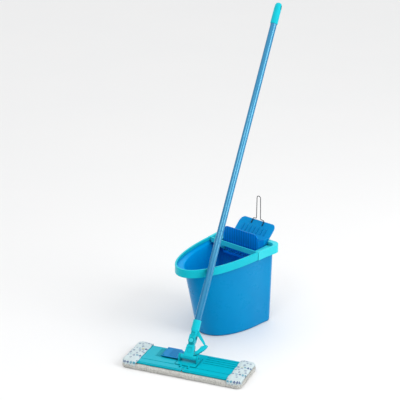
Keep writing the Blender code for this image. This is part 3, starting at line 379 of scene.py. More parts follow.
def printed_cloth(name, ground, inks, cell):
    """Woven white cloth with a generic print: rows of short bars, lozenges and dots, one to each cell.

    The cell's number picks the mark and its ink. A bar is |x| and |y| both small, a lozenge is |x| + |y|
    small, and a dot is x^2 + y^2 small, in the cell's own coordinates from -1/2 to 1/2.
    """
    g = Graph(name)
    where = g.add("ShaderNodeMapping", Vector=g.coords.outputs["UV"],
                  Scale=(1 / cell[0], 1 / cell[1], 1.0)).outputs[0]
    split = g.add("ShaderNodeSeparateXYZ", Vector=where)
    row = g.math("FLOOR", split.outputs[1])
    odd = g.math("MULTIPLY", g.math("MODULO", row, 2.0), 0.5)
    across = g.math("ADD", split.outputs[0], odd)
    column = g.math("FLOOR", across)
    number = g.add("ShaderNodeCombineXYZ", i0=column, i1=row, i2=0.0).outputs[0]
    pick = g.add("ShaderNodeTexWhiteNoise", {"noise_dimensions": "3D"}, Vector=number).outputs[0]
    other = g.add("ShaderNodeTexWhiteNoise", {"noise_dimensions": "4D"}, Vector=number, W=4.0).outputs[0]
    x = g.math("ABSOLUTE", g.math("SUBTRACT", g.math("FRACT", across), 0.5))
    y = g.math("ABSOLUTE", g.math("SUBTRACT", g.math("FRACT", split.outputs[1]), 0.5))
    bar = g.math("MULTIPLY", g.math("LESS_THAN", x, 0.38), g.math("LESS_THAN", y, 0.32))
    lozenge = g.math("LESS_THAN", g.math("ADD", x, y), 0.46)
    dot = g.math("LESS_THAN", g.math("ADD", g.math("MULTIPLY", x, x), g.math("MULTIPLY", y, y)), 0.10)
    use_bar = g.math("MULTIPLY", bar, g.math("LESS_THAN", pick, 0.50))
    use_dot = g.math("MULTIPLY", dot, g.math("GREATER_THAN", pick, 0.82))
    between = g.math("MULTIPLY", g.math("GREATER_THAN", pick, 0.50), g.math("LESS_THAN", pick, 0.82))
    mark = g.math("ADD", g.math("ADD", use_bar, use_dot), g.math("MULTIPLY", lozenge, between), clamp=True)
    strong = g.math("LESS_THAN", g.math("MODULO", row, 4.0), 0.5)
    sparse = g.math("MULTIPLY", g.math("LESS_THAN", other, 0.34), 0.60)
    mark = g.math("MULTIPLY", mark, g.math("MAXIMUM", strong, sparse))
    ragged = g.spread(g.noise(2600.0, 2.0), 0.30, 0.55, 0.25, 1.0)
    mark = g.math("MULTIPLY", mark, ragged, clamp=True)
    ink = g.mix(g.math("GREATER_THAN", other, 0.42), rgba(inks[0]), rgba(inks[1]))
    ink = g.mix(g.math("GREATER_THAN", other, 0.80), ink, rgba(inks[2]))
    ink = g.mix(g.math("GREATER_THAN", other, 0.955), ink, rgba(inks[3]))
    soft = g.mix(g.noise(70.0, 3.0), rgba(ground), rgba(tint(ground, 0.80)))
    colour = g.mix(mark, soft, ink)
    warp, weft = (g.add("ShaderNodeTexWave", {"bands_direction": axis}, Vector=g.coords.outputs["UV"],
                        Scale=210.0).outputs[0] for axis in "XY")
    normal = g.bump(g.math("ADD", warp, weft), 0.25, 0.0002, g.bump(g.noise(260.0, 3.0), 0.25, 0.0006))
    return g.out(Base_Color=colour, Roughness=0.90, Normal=normal, Sheen_Weight=0.15, Sheen_Roughness=0.5)


def dress(node, material):
    """Give a CAD node its material."""
    obj = FRAME["nodes"][node]
    if not obj.data.materials:
        obj.data.materials.append(material)
    for slot in obj.material_slots:
        slot.material = material


# ---- settings ------------------------------------------------------------------------------------
def colour_prop(name, description, default):
    return FloatVectorProperty(name=name, description=description, default=default, size=3, min=0.0, max=1.0,
                               subtype="COLOR")


def length_prop(name, description, default):
    return FloatProperty(name=name, description=description, default=default, min=0.0, unit="LENGTH",
                         precision=4)


def amount_prop(name, description, default, **more):
    return FloatProperty(name=name, description=description, default=default, min=0.0, **more)


class BucketSettings(bpy.types.PropertyGroup):
    """Sizes and colours of the bucket, its rim and the wringer."""

    wall: length_prop("Wall", "Thickness of the bucket's wall", 0.0025)
    body_colour: colour_prop("Body", "Blue of the bucket", (0.000, 0.275, 0.590))
    body_deep: colour_prop("Body, deep", "Darker clouding of the bucket's blue", (0.000, 0.240, 0.545))
    rim_colour: colour_prop("Rim", "Turquoise of the rim band", (0.008, 0.560, 0.680))
    frame_colour: colour_prop("Wringer frame", "Paler turquoise of the frame", (0.035, 0.680, 0.780))
    front_jaw_colour: colour_prop("Front jaw", "Deep blue of the front jaw", (0.000, 0.270, 0.860))
    rear_jaw_colour: colour_prop("Rear jaw", "Blue of the rear jaw", (0.000, 0.300, 0.700))
    steel_colour: colour_prop("Steel", "Tone of the wire and pins", (0.12, 0.12, 0.13))


class MopSettings(bpy.types.PropertyGroup):
    """Sizes and colours of the mop head, its pad and the handle."""

    pad_length: length_prop("Pad length", "Length of the microfibre pad", 0.428)
    pad_width: length_prop("Pad width", "Width of the microfibre pad", 0.157)
    pad_thickness: length_prop("Pad thickness", "Thickness of the pad under the wings", 0.0175)
    pocket_depth: length_prop("Pocket depth", "How far a pocket reaches over the end of a wing", 0.0505)
    puffs: IntProperty(name="Pocket puffs", description="Puffed sections across each pocket", default=3,
                       min=1, max=8)
    wing_colour: colour_prop("Wings", "Turquoise of the two wings", (0.001, 0.480, 0.590))
    wing_deep: colour_prop("Wings, deep", "Darker clouding of the wings", (0.001, 0.410, 0.530))
    joint_colour: colour_prop("Joint", "Turquoise of the joint and socket", (0.010, 0.600, 0.720))
    deep_blue: colour_prop("Pedal", "Blue of the pedal", (0.001, 0.270, 0.640))
    tube_colour: colour_prop("Tube", "Blue coating of the handle", (0.000, 0.185, 0.430))
    pile_colour: colour_prop("Pile", "Off-white of the microfibre", (0.760, 0.760, 0.710))
    cloth_colour: colour_prop("Pocket cloth", "Ground of the printed cloth", (0.640, 0.760, 0.780))


class StageSettings(bpy.types.PropertyGroup):
    """Floor, light and camera."""

    floor_size: length_prop("Floor", "Width of the floor", 60.0)
    lens: FloatProperty(name="Lens", description="Focal length for a 36 mm sensor", default=126.0, min=10.0,
                        subtype="DISTANCE_CAMERA")
    key_power: amount_prop("Key light", "Power of the main softbox", 44.0, subtype="POWER")
    side_power: amount_prop("Side light", "Power of the light from the left", 9.0, subtype="POWER")
    ceiling_power: amount_prop("Ceiling panel", "Power of the wide panel overhead", 1650.0, subtype="POWER")
    sky: amount_prop("Sky", "Strength of the even light from all round", 0.40)


# ---- bucket --------------------------------------------------------------------------------------
BAND_WALL = 0.0025
SHELL_WALL = 0.0025
LIP_WALL = 0.0020
WALL_TOP = RIM - BAND_DEPTH
FLARE_TOP = RIM - 0.0125
# nose, rear and half width of the outside: at the foot, under the rim band and at the top
AT_FOOT = np.array([0.196, 0.058, 0.105])
AT_TOP = np.array([NOSE_REACH - BAND_WALL - GAP, 0.069, HALF_WIDTH - BAND_WALL - GAP])
UNDER_BAND = np.array([NOSE_REACH - 0.047, AT_TOP[1] - 0.003, AT_TOP[2] - 0.004])


def shell_size(height):
    """Nose, rear and half width at one height: straight up to the rim band's underside, then a flare."""
    low = min(height / WALL_TOP, 1.0)
    ease = float(smooth_step(WALL_TOP, FLARE_TOP, height))
    return AT_FOOT + (UNDER_BAND - AT_FOOT) * low + (AT_TOP - UNDER_BAND) * ease


def shell_ring(height, inset):
    """The outline at one height, drawn in by the inset."""
    return lifted(full_outline(*(shell_size(height) - inset), CORNER - inset), height)


def build_shell(wall):
    """The bucket: outlines going up outside, over the lip and down inside, closed at both ends.

    The foot and the inner fillet are quarter rounds, (r - r cos a, r - r sin a), and the lip is a half round
    as thick as the wall.
    """
    foot, fillet, floor = 0.0045, 0.0060, 0.0032
    round_steps = 7
    top = RIM - BAND_WALL - GAP
    rings = []
    for turn in np.linspace(0.0, math.pi / 2, round_steps):
        rings.append(shell_ring(foot * (1 - math.cos(turn)), foot * (1 - math.sin(turn))))
    wall_heights, flare_heights = np.linspace(0.02, WALL_TOP, 12), np.linspace(WALL_TOP, FLARE_TOP, 9)[1:]
    outside = np.concatenate([wall_heights, flare_heights])
    for height in outside:
        rings.append(shell_ring(height, 0.0))
    for turn in np.linspace(0.0, math.pi, round_steps):
        rings.append(shell_ring(top - wall / 2 + wall / 2 * math.sin(turn), wall / 2 * (1 - math.cos(turn))))
    for height in outside[::-1]:
        rings.append(shell_ring(height, wall))
    for turn in np.linspace(0.0, math.pi / 2, 6):
        height = floor + fillet * (1 - math.sin(turn))
        rings.append(shell_ring(height, wall + fillet * (1 - math.cos(turn))))
    count = len(rings[0])
    points = np.concatenate(rings)
    rows = len(rings)
    faces = grid_quads(rows, count, wrap_cols=True)
    bottom, inside = points[:count].mean(0), points[-count:].mean(0)
    points = np.concatenate([points, [bottom, inside]])
    fans = [ring_fan(0, count, rows * count, True), ring_fan((rows - 1) * count, count, rows * count + 1)]
    piece = make_piece("bucket_body", points, [faces, *fans])
    sharpen(piece, 50)
    # faces from the lip's crest down to the floor take the second material, a lighter copy of the blue
    # painted as light on the inside
    inner = np.zeros(len(piece.data.polygons), np.int32)
    crest = round_steps + len(outside) + round_steps // 2
    inner[crest * count:len(faces)] = 1
    inner[len(faces) + count:] = 1
    piece.data.materials.append(None)
    piece.data.materials.append(None)
    piece.data.polygons.foreach_set("material_index", inner)
    return piece


def rim_profile(skirt, lip_inset, lip, wall, radius):
    """Outer and inner lines of the rim's upside-down U, point for point: (inset, drop from the top) pairs.

    Both follow skirt, quarter round, top, quarter round, lip; the inner line keeps the wall's thickness.
    """
    turn = np.linspace(0.0, math.pi / 2, 8)
    waist, draft, fillet = skirt * 0.55, 0.0004, 0.0006
    outer = [(0.0, skirt), (draft, waist)]
    outer += [(radius * (1 - math.cos(t)), radius * (1 - math.sin(t))) for t in turn]
    outer += [(lip_inset - radius * (1 - math.sin(t)), radius * (1 - math.cos(t))) for t in turn]
    outer += [(lip_inset, lip)]
    inner = [(wall, skirt), (wall, waist)]
    inner += [(wall, wall + fillet * (1 - math.sin(t))) for t in turn]
    inner += [(lip_inset - LIP_WALL, wall + fillet * (1 - math.cos(t))) for t in turn]
    inner += [(lip_inset - LIP_WALL, lip)]
    return np.array(outer), np.array(inner)


def build_band():
    """The rim band: the upside-down U carried round the nose from seam to seam, closed at its ends."""
    lip_inset = BAND_WALL + GAP + SHELL_WALL + GAP + LIP_WALL
    lip_depth, edge_radius = 0.011, 0.0022
    outer, inner = rim_profile(BAND_DEPTH, lip_inset, lip_depth, BAND_WALL, edge_radius)
    curves = [lifted(front_outline(NOSE_REACH - inset, HALF_WIDTH - inset), RIM - drop)
              for inset, drop in np.concatenate([outer, inner[::-1]])]
    points = np.stack(curves, 1)
    # the ends stand square to the bucket, a running gap in front of the wringer's frame
    points[..., 0] = np.minimum(points[..., 0], PLAN_SHIFT - SEAM - GAP)
    rows, cols = points.shape[:2]
    faces = grid_quads(rows, cols, wrap_cols=True)
    half = len(outer)
    k = np.arange(half - 1)
    cap = np.stack([k, k + 1, cols - 2 - k, cols - 1 - k], 1)
    caps = [cap, cap[:, ::-1] + (rows - 1) * cols]
    piece = make_piece("rim_band_moulding", points.reshape(-1, 3), [faces, *caps])
    sharpen(piece, 40)
    return piece


def build_corner_web(name, side):
    """Flat web in a rear corner of the frame, from the shell's inner outline to a line beside the jaws."""
    inset, front, beside, thick = 0.0032, 0.0364, 0.0812, 0.0016
    outline = full_outline(*(AT_TOP - inset), CORNER - inset)
    outline = outline[(outline[:, 0] > front) & (outline[:, 1] * side > beside)]
    edge = outline[np.argsort(outline[:, 1] * side - outline[:, 0])]
    inner = np.stack([edge[:, 0], np.full(len(edge), side * beside)], 1)
    share = np.linspace(0, 1, 6)[:, None, None]
    flat = edge * (1 - share) + inner * share
    top = lifted(flat.reshape(-1, 2), FLARE_TOP)
    under = top - [0, 0, thick]
    rows, cols = share.shape[0], len(edge)
    quads = grid_quads(rows, cols)
    last = (rows - 1) * cols
    ring = np.concatenate([np.arange(cols), np.arange(1, rows) * cols + cols - 1,
                           last + np.arange(cols - 2, -1, -1), np.arange(rows - 2, 0, -1) * cols])
    after = np.roll(ring, -1)
    count = rows * cols
    walls = np.stack([ring, ring + count, after + count, after], 1)
    sets = [quads, quads[:, ::-1] + count, walls]
    return make_piece(name, np.concatenate([top, under]), sets, smooth=False)


# ---- wire loop -----------------------------------------------------------------------------------
def sweep(name, path, radius, sides=14):
    """A round bar: a circle in the plane across the path at each of its points, closed at the ends."""
    path = np.asarray(path, float)
    along = np.gradient(path, axis=0)
    along /= np.linalg.norm(along, axis=1)[:, None]
    side = np.cross(along[0], [1.0, 0.2, 0.1])
    side /= np.linalg.norm(side)
    turn = np.linspace(0, 2 * math.pi, sides, endpoint=False)
    rings = []
    for centre, axis in zip(path, along):
        side = side - axis * (side @ axis)
        side /= np.linalg.norm(side)
        other = np.cross(axis, side)
        rings.append(centre + radius * (np.cos(turn)[:, None] * side + np.sin(turn)[:, None] * other))
    points = np.concatenate([*rings, path[:1], path[-1:]])
    rows = len(path)
    sets = [grid_quads(rows, sides, wrap_cols=True)]
    sets += [ring_fan(0, sides, rows * sides, True), ring_fan((rows - 1) * sides, sides, rows * sides + 1)]
    return make_piece(name, points, sets)


def rounded_line(corners, radii, steps=7):
    """A line through corners with an arc of the given radius in each of its inner corners."""
    corners = np.asarray(corners, float)
    out = [corners[0]]
    for i in range(1, len(corners) - 1):
        back, ahead = corners[i - 1] - corners[i], corners[i + 1] - corners[i]
        back, ahead = back / np.linalg.norm(back), ahead / np.linalg.norm(ahead)
        angle = math.acos(float(np.clip(back @ ahead, -1, 1)))
        reach = radii[i - 1] / math.tan(angle / 2)
        middle = (back + ahead) / np.linalg.norm(back + ahead)
        centre = corners[i] + middle * radii[i - 1] / math.sin(angle / 2)
        a, b = corners[i] + back * reach - centre, corners[i] + ahead * reach - centre
        arc = math.pi - angle
        t = np.linspace(0, 1, steps)[:, None]
        out.extend(centre + (np.sin((1 - t) * arc) * a + np.sin(t * arc) * b) / math.sin(arc))
    out.append(corners[-1])
    return np.array(out)


def build_wire():
    """The steel loop on the rear jaw: feet, shoulders, two legs and a half round on top.

    Below the shoulders the wire runs out along the jaw's face, by the face's slope times the drop.
    """
    slope = 0.0175 / 0.0170
    x, base = PLAN_SHIFT + 0.1088, RIM + 0.0485
    foot, leg, height, bend = 0.0245, 0.0078, 0.091, 0.0035
    side = [(foot, base - 0.0135), (foot, base + 0.0005), (foot - bend, base + 0.0030),
            (leg + 0.0012, base + 0.0038), (leg + 0.0004, base + height - 0.030), (leg, base + height)]
    radii = [0.0028, 0.0035, 0.0045, 0.02, leg * 0.999]
    line = rounded_line(side + [(-y, z) for y, z in side[::-1]], radii + radii[::-1])
    down = np.maximum(0.0, base - 0.0018 - line[:, 1])
    path = np.stack([x - down * slope, line[:, 0], line[:, 1]], 1)
    return sweep("guide_loop", path, 0.0014)


# ---- pad -----------------------------------------------------------------------------------------
WING_UNDERSIDE = 0.0178
WING_EDGE = 0.0655
# height, size and seed of each layer
PILE_LAYERS = ((0.00085, (0.0048, 0.0048, 0.0085), 1), (0.00048, (0.0022, 0.0022, 0.0040), 2),
               (0.00080, 0.018, 3))


def pile(points):
    """Height of the looped pile: 5 mm tufts, 2.2 mm loops and a slow 18 mm swell, drawn out up the sides."""
    return sum(height * lumps(points, size, seed) for height, size, seed in PILE_LAYERS)


def pad_loop(half, thick, radius, low):
    """The pad's section: a rectangle with quarter-round corners, closely spaced near its two sides."""
    turn = np.linspace(0, math.pi / 2, 11)
    flat, foot = half - radius, radius * 0.8
    over_y = flat * np.sin(np.linspace(math.pi / 2, -math.pi / 2, 92))[1:-1]
    under_y = np.linspace(-flat, flat, 60)[1:-1]
    upright = np.linspace(low + foot, thick - radius, 7)[1:-1]
    side_y = np.concatenate([half - foot + foot * np.sin(turn), np.full(len(upright), half),
                             flat + radius * np.cos(turn)])
    side_z = np.concatenate([low + foot * (1 - np.cos(turn)), upright,
                             thick - radius + radius * np.sin(turn)])
    y = np.concatenate([side_y, over_y, -side_y[::-1], under_y])
    z = np.concatenate([side_z, np.full(len(over_y), thick), side_z[::-1], np.full(len(under_y), low)])
    return y, z


def build_pad(name, side, settings):
    """Half of the pad: the section carried from the fold to the end, drawn in round the corners and the edge.

    With e the distance from the end, the half width falls by R - sqrt(R^2 - (R - e)^2) inside the corner
    radius R, and the thickness likewise inside the edge radius. The pile lifts each point along the normal.
    """
    room = 0.0008  # left for the pile inside the pad's stated size
    half, length = settings.pad_width / 2 - room, settings.pad_length / 2 - room
    thick = settings.pad_thickness
    radius, corner = 0.0072, 0.0160
    ease = np.sin(np.linspace(0, math.pi / 2, 26))
    along = np.concatenate([np.linspace(0, length - corner, 176)[:-1], length - corner + corner * ease])
    rows = []
    for x in along:
        left = length - x
        inset = corner - math.sqrt(max(corner ** 2 - max(corner - left, 0) ** 2, 0))
        drop = radius - math.sqrt(max(radius ** 2 - max(radius - left, 0) ** 2, 0))
        # the underside rises a little at the fold, where the two halves press together
        low = 0.0002 + 0.0012 * (1 - float(smooth_step(0, 0.010, x)))
        y, z = pad_loop(half - inset, thick, radius, low)
        centre = (low + thick) / 2
        z = centre + (z - centre) * (1 - 1.15 * drop / thick)
        rows.append(np.stack([np.full(len(y), side * x), y, z], 1))
    grid = np.array(rows)
    wrapped = np.concatenate([grid[:, -1:], grid, grid[:, :1]], 1)
    normal = np.cross(np.gradient(grid, axis=0), np.gradient(wrapped, axis=1)[:, 1:-1])
    normal /= np.maximum(np.linalg.norm(normal, axis=2), 1e-12)[..., None]
    middle = np.array([side * 0.1, 0.0, thick / 2])
    if ((grid - middle) * normal).sum() < 0:
        normal = -normal
    grid = grid + normal * pile(grid)[..., None]
    # flat where it rests: under the wings and on the floor
    hidden = smooth_step(WING_EDGE + 0.0035, WING_EDGE - 0.001, np.abs(grid[..., 1]))
    ceiling = WING_UNDERSIDE - GAP + (1 - hidden) * 0.0012
    grid[..., 2] = np.where(hidden > 0, np.minimum(grid[..., 2], ceiling), grid[..., 2])
    grid[..., 2] = np.maximum(grid[..., 2], 0.0)
    grid[0, :, 0] = 0.0
    grid[..., 0] = side * np.maximum(side * grid[..., 0], 0.0)
    rows_n, cols = grid.shape[:2]
    k = np.arange(cols // 2 - 1)
    strip = np.stack([k, k + 1, cols - 2 - k, cols - 1 - k], 1)
    sets = [grid_quads(rows_n, cols, wrap_cols=True), strip[:, ::-1], strip + (rows_n - 1) * cols]
    return make_piece(name, on_head(grid.reshape(-1, 3)), sets)


# ---- pockets -------------------------------------------------------------------------------------
PRINT_START = 0.18425  # shifts the print's rows along the cloth


def build_pocket(name, side, settings):
    """The printed cap over a wing's end: a flat sheet let down over a rounded edge.

    For a point of the flat sheet, q is the nearest point of the top rectangle drawn in by the corner radius,
    and m the larger side of what is left over. The point goes to q plus the direction to it times m, until
    the edge's quarter round, and then down the wall. Crowned sections across the sheet make the puffs.
    """
    half, end = settings.pad_width / 2 - 0.0022, settings.pad_length / 2 - 0.0018
    corner, edge, top, hem = 0.0150, 0.0046, 0.0258, 0.0098
    puff, pleat, wing_top = 0.0056, 0.0135, 0.0245
    reach = corner - edge + edge * math.pi / 2 + (top - edge - hem)
    start = end - settings.pocket_depth
    fx = np.linspace(0.0, end - corner + reach - start, 84)
    fy = np.linspace(-(half - corner + reach), half - corner + reach, 220)
    fx, fy = np.meshgrid(fx, fy, indexing="ij")
    x = fx + start
    inner_x, inner_y = np.minimum(x, end - corner), np.clip(fy, -half + corner, half - corner)
    dx, dy = x - inner_x, fy - inner_y
    m = np.maximum(np.abs(dx), np.abs(dy))
    length = np.maximum(np.hypot(dx, dy), 1e-9)
    nx, ny = dx / length, dy / length
    bend = np.clip((m - (corner - edge)) / edge, 0, math.pi / 2)
    out = np.where(m < corner - edge, m, corner - edge + edge * np.sin(bend))
    drop = edge * (1 - np.cos(bend)) + np.maximum(m - (corner - edge) - edge * math.pi / 2, 0)
    # puffs: crowned sections between creases that run from the opening to the end
    shifted = fy + 0.004 * np.sin(x * 60.0 + side)
    cell = (shifted + half) / (2 * half) * settings.puffs
    t = cell - np.floor(cell) - 0.5
    crown = (1 - (2 * t) ** 2) ** 0.8
    inside = (np.abs(fy) < half).astype(float)
    body = smooth_step(corner + edge, corner - edge, m) * inside
    opening = smooth_step(0.0, 0.012, fx)
    z = top - drop + body * (puff * crown * (0.35 + 0.65 * opening) - 0.0010)
    # folds and crumples of the cloth, stronger at the creases and corners
    where = np.stack([x, fy, np.zeros_like(x)], -1)
    crumple = 0.00060 * lumps(where, (0.011, 0.0075, 1.0), 11)
    crumple = crumple + 0.00028 * lumps(where, (0.0045, 0.0040, 1.0), 12)
    z = z + crumple * (1 - smooth_step(0.2, 1.2, bend)) * (0.5 + 0.5 * opening)
    # gathers down the wall, most in the two corners
    wall = smooth_step(0.5, 1.5, bend)
    along = np.where(np.abs(dx) > np.abs(dy), fy, np.sign(fy) * (half + end - x))
    in_corner = smooth_step(0.0, 0.006, np.minimum(np.abs(dx), np.abs(dy)))
    gather = np.sin(along * 2 * math.pi / pleat + 1.3 * np.sin(along * 90)) * (0.00045 + 0.0005 * in_corner)
    out = out + smooth_step(0.2, 1.2, bend) * 0.0022 * (crown - 0.45) * inside * (np.abs(dy) < np.abs(dx))
    out = out + wall * (gather + 0.0006 * smooth_step(0.008, 0.016, drop) + 0.0003 * lumps(where, 0.006, 13))
    # scalloped opening, turned down onto the wing
    scallop = 0.0022 * crown * inside * smooth_step(0.010, 0.0, fx)
    waver = 0.0008 * inside * lumps(where, (1.0, 0.02, 1.0), 14) * smooth_step(0.01, 0, fx)
    x_out = inner_x + nx * out - scallop + waver
    z = z - 0.0007 * smooth_step(0.0035, 0.0, fx) * inside
    z = np.maximum(z, np.where(np.abs(fy) < WING_EDGE + 0.001, wing_top, 0.0))
    grid = np.stack([side * x_out, inner_y + ny * out, z], -1)
    uv = np.stack([fx, fy + PRINT_START], -1).reshape(-1, 2)
    quads = grid_quads(*grid.shape[:2])
    piece = make_piece(name, on_head(grid.reshape(-1, 3)), [quads], uv=uv)
    if sum(p.normal.z * p.area for p in piece.data.polygons) < 0:
        piece.data.flip_normals()
    thick = piece.modifiers.new("Cloth thickness", "SOLIDIFY")
    thick.thickness, thick.offset = 0.0008, -1.0
    flat = (float(fy.max() - fy.min()), float(fx.max() - fx.min()))
    return piece, flat


# ---- ring on the joint's boss --------------------------------------------------------------------
BOSS_FACE = 0.0022


def build_boss_ring():
    """Raised ring and domed cap over the roll pin's boss: (radius, rise) points turned about the pin's axis.

    The rise counts from the boss's face, BOSS_FACE out from the middle of the boss's box.
    """
    axis = np.array(JOINTS["handle_roll"]["axis"], float)
    low, high = (np.array(corner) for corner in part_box("boss_button"))
    middle = (low + high) / 2
    out = axis if (middle - np.array(JOINTS["handle_roll"]["pos_m"])) @ axis > 0 else -axis
    side = np.cross(out, [0.0, 0.0, 1.0])
    side /= np.linalg.norm(side)
    other = np.cross(out, side)
    radii = np.array([0.0004, 0.0026, 0.0036, 0.0040, 0.0044, 0.0050, 0.0058, 0.0066, 0.0072, 0.0074])
    rises = np.array([0.0013, 0.0012, 0.0009, 0.0002, 0.0002, 0.0010, 0.0014, 0.0011, 0.0004, -0.0012])
    turn = np.linspace(0, 2 * math.pi, 48, endpoint=False)[None, :, None]
    rings = middle + out * (rises + BOSS_FACE)[:, None, None]
    rings = rings + radii[:, None, None] * (np.cos(turn) * side + np.sin(turn) * other)
    rows, cols = rings.shape[:2]
    points = np.concatenate([rings.reshape(-1, 3), rings[:1].mean(1), rings[-1:].mean(1)])
    sets = [grid_quads(rows, cols, wrap_cols=True), ring_fan(0, cols, rows * cols, True),
            ring_fan((rows - 1) * cols, cols, rows * cols + 1)]
    piece = make_piece("boss_ring", points, sets)
    sharpen(piece, 60)
    return piece


# ---- operators -----------------------------------------------------------------------------------
class BUCKET_OT_body(bpy.types.Operator):
    """Make the smooth bucket body and give it its clouded blue plastic, with a lighter copy inside as painted
    light
    """

    bl_idname = "mopbucket.body"
    bl_label = "Bucket body"

    def execute(self, context):
        s = context.scene.mop_bucket_bucket
        body = build_shell(s.wall)
        body.data.materials[0] = moulded("Bucket blue", s.body_colour, s.body_deep, 0.26, edge=0.0006,
                                         grain=0.04, gloss=0.22)
        # painted light: a lighter copy of the blue on the inside faces stands in for light falling into the
        # bucket
        body.data.materials[1] = moulded("Bucket blue, painted light inside", tint(s.body_colour, 1.45),
                                         tint(s.body_deep, 1.40), 0.30, edge=0.0006, grain=0.04,
                                         gloss=0.25)
        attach(body, "bucket")
        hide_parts("bucket_shell")
        return {"FINISHED"}


class BUCKET_OT_rim(bpy.types.Operator):
    """Make the rim band and give the rim and the wringer's frame their turquoise plastic"""

    bl_idname = "mopbucket.rim"
    bl_label = "Rim and wringer frame"

    def execute(self, context):
        s = context.scene.mop_bucket_bucket
        band = build_band()
        band.data.materials.append(moulded("Rim turquoise", s.rim_colour, tint(s.rim_colour, 0.86), 0.28,
                                           edge=0.0008))
        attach(band, "bucket")
        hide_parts("rim_band")
        frame = moulded("Frame turquoise", s.frame_colour, tint(s.frame_colour, 0.88), 0.27)
        dress("wringer_frame", frame)
        for side, label in ((-1, "near"), (1, "far")):
            web = build_corner_web("corner_web_" + label, side)
            web.data.materials.append(frame)
            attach(web, "bucket")
        dress("sieve_tray", moulded("Tray blue", s.front_jaw_colour, tint(s.front_jaw_colour, 0.80), 0.34))
        return {"FINISHED"}


class BUCKET_OT_jaws(bpy.types.Operator):
    """Give the wringer's jaws, pins and wire their finishes"""

    bl_idname = "mopbucket.jaws"
    bl_label = "Wringer jaws and wire"

    def execute(self, context):
        s = context.scene.mop_bucket_bucket
        # the front jaw's darker bars are painted shade of its ribs
        dress("front_jaw", moulded("Front jaw blue", s.front_jaw_colour, tint(s.front_jaw_colour, 0.82), 0.30,
                                   edge=0.0009, rib_shade_spacing=0.0105))
        dress("rear_jaw", moulded("Rear jaw blue", s.rear_jaw_colour, tint(s.rear_jaw_colour, 0.85), 0.28,
                                  edge=0.0009))
        steel = bright_steel("Steel", s.steel_colour)
        loop = build_wire()
        loop.data.materials.append(steel)
        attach(loop, "rear_jaw")
        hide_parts("guide_wire")
        for node in ("front_jaw_pin", "rear_jaw_pin"):
            dress(node, steel)
        return {"FINISHED"}


class MOP_OT_head(bpy.types.Operator):
    """Give the wings, the joint and the pedal their plastics"""

    bl_idname = "mopbucket.head"
    bl_label = "Mop head"

    def execute(self, context):
        s = context.scene.mop_bucket_mop
        wings = moulded("Wing turquoise", s.wing_colour, s.wing_deep, 0.30, edge=0.0007)
        joint = moulded("Joint turquoise", s.joint_colour, tint(s.joint_colour, 0.84), 0.28, edge=0.0008)
        deep = moulded("Deep blue", s.deep_blue, tint(s.deep_blue, 0.80), 0.32, edge=0.0007)
        steel = bright_steel("Pin steel", (0.30, 0.30, 0.31))
        pins = ("fold_pin_left", "fold_pin_right", "pitch_pin", "pedal_pin", "latch_pin", "roll_pin")
        for nodes, material in ((("left_wing", "right_wing", "turret"), wings), (("release_pedal",), deep),
                                (("yoke", "latch_arm", "socket"), joint), (pins, steel)):
            for node in nodes:
                dress(node, material)
        # painted shade: the boss takes a darker copy of the joint's turquoise so that it reads as a recess
        dress("boss_button", moulded("Boss turquoise, painted shade", tint(s.joint_colour, 0.55),
                                     tint(s.joint_colour, 0.45), 0.30, edge=0.0006))
        ring = build_boss_ring()
        # painted highlight: the raised ring takes a lighter turquoise than the joint, as if catching the
        # light
        ring.data.materials.append(moulded("Ring turquoise, painted highlight", (0.060, 0.740, 0.830), (0.040, 0.640, 0.740),
                                           0.24, edge=0.0004))
        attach(ring, "handle")
        return {"FINISHED"}


class MOP_OT_handle(bpy.types.Operator):
    """Give the handle its coated tube and the plastic of its cap and plug"""

    bl_idname = "mopbucket.handle"
    bl_label = "Handle"

    def execute(self, context):
        s = context.scene.mop_bucket_mop
        dress("handle_tube", coated_tube("Tube blue", s.tube_colour, tint(s.tube_colour, 0.86)))
        cap = moulded("Cap turquoise", s.joint_colour, tint(s.joint_colour, 0.80), 0.30, edge=0.0008)
        dress("handle_cap", cap)
        dress("tube_plug", moulded("Plug turquoise", s.joint_colour, tint(s.joint_colour, 0.7), 0.36))
        return {"FINISHED"}


class MOP_OT_pads(bpy.types.Operator):
    """Make the two halves of the looped microfibre pad"""

    bl_idname = "mopbucket.pads"
    bl_label = "Microfibre pad"

    def execute(self, context):
        s = context.scene.mop_bucket_mop
        material = looped_pile("Microfibre", s.pile_colour, tint(s.pile_colour, 0.55))
        for side, label in ((1, "right"), (-1, "left")):
            piece = build_pad("microfibre_" + label, side, s)
            piece.data.materials.append(material)
            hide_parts("pad_" + label)
            start, stop = on_head((0.0, 0.0, 0.0)), on_head((side * 0.028, 0.0, 0.0))
            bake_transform(piece)
        return {"FINISHED"}


class MOP_OT_pockets(bpy.types.Operator):
    """Make the printed cloth pockets over the ends of the wings"""

    bl_idname = "mopbucket.pockets"
    bl_label = "Printed pockets"

    def execute(self, context):
        s = context.scene.mop_bucket_mop
        inks = ((0.010, 0.045, 0.22), (0.012, 0.28, 0.42), (0.20, 0.22, 0.25), (0.55, 0.50, 0.16))
        cloth = printed_cloth("Printed cloth", s.cloth_colour, inks, (0.0112, 0.0127))
        for side, label in ((1, "right"), (-1, "left")):
            piece, flat = build_pocket("cloth_pocket_" + label, side, s)
            piece.data.materials.append(cloth)
            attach(piece, label + "_wing")
            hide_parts("pocket_" + label)
        return {"FINISHED"}


LIGHT_AIM = (-0.05, -0.03, 0.20)
CAMERA_AT = (-3.498, -2.851, 2.214)
CAMERA_HEADING = (0.7618, 0.6478)  # seen from above
CAMERA_DIP = 0.3694  # downwards, in radians


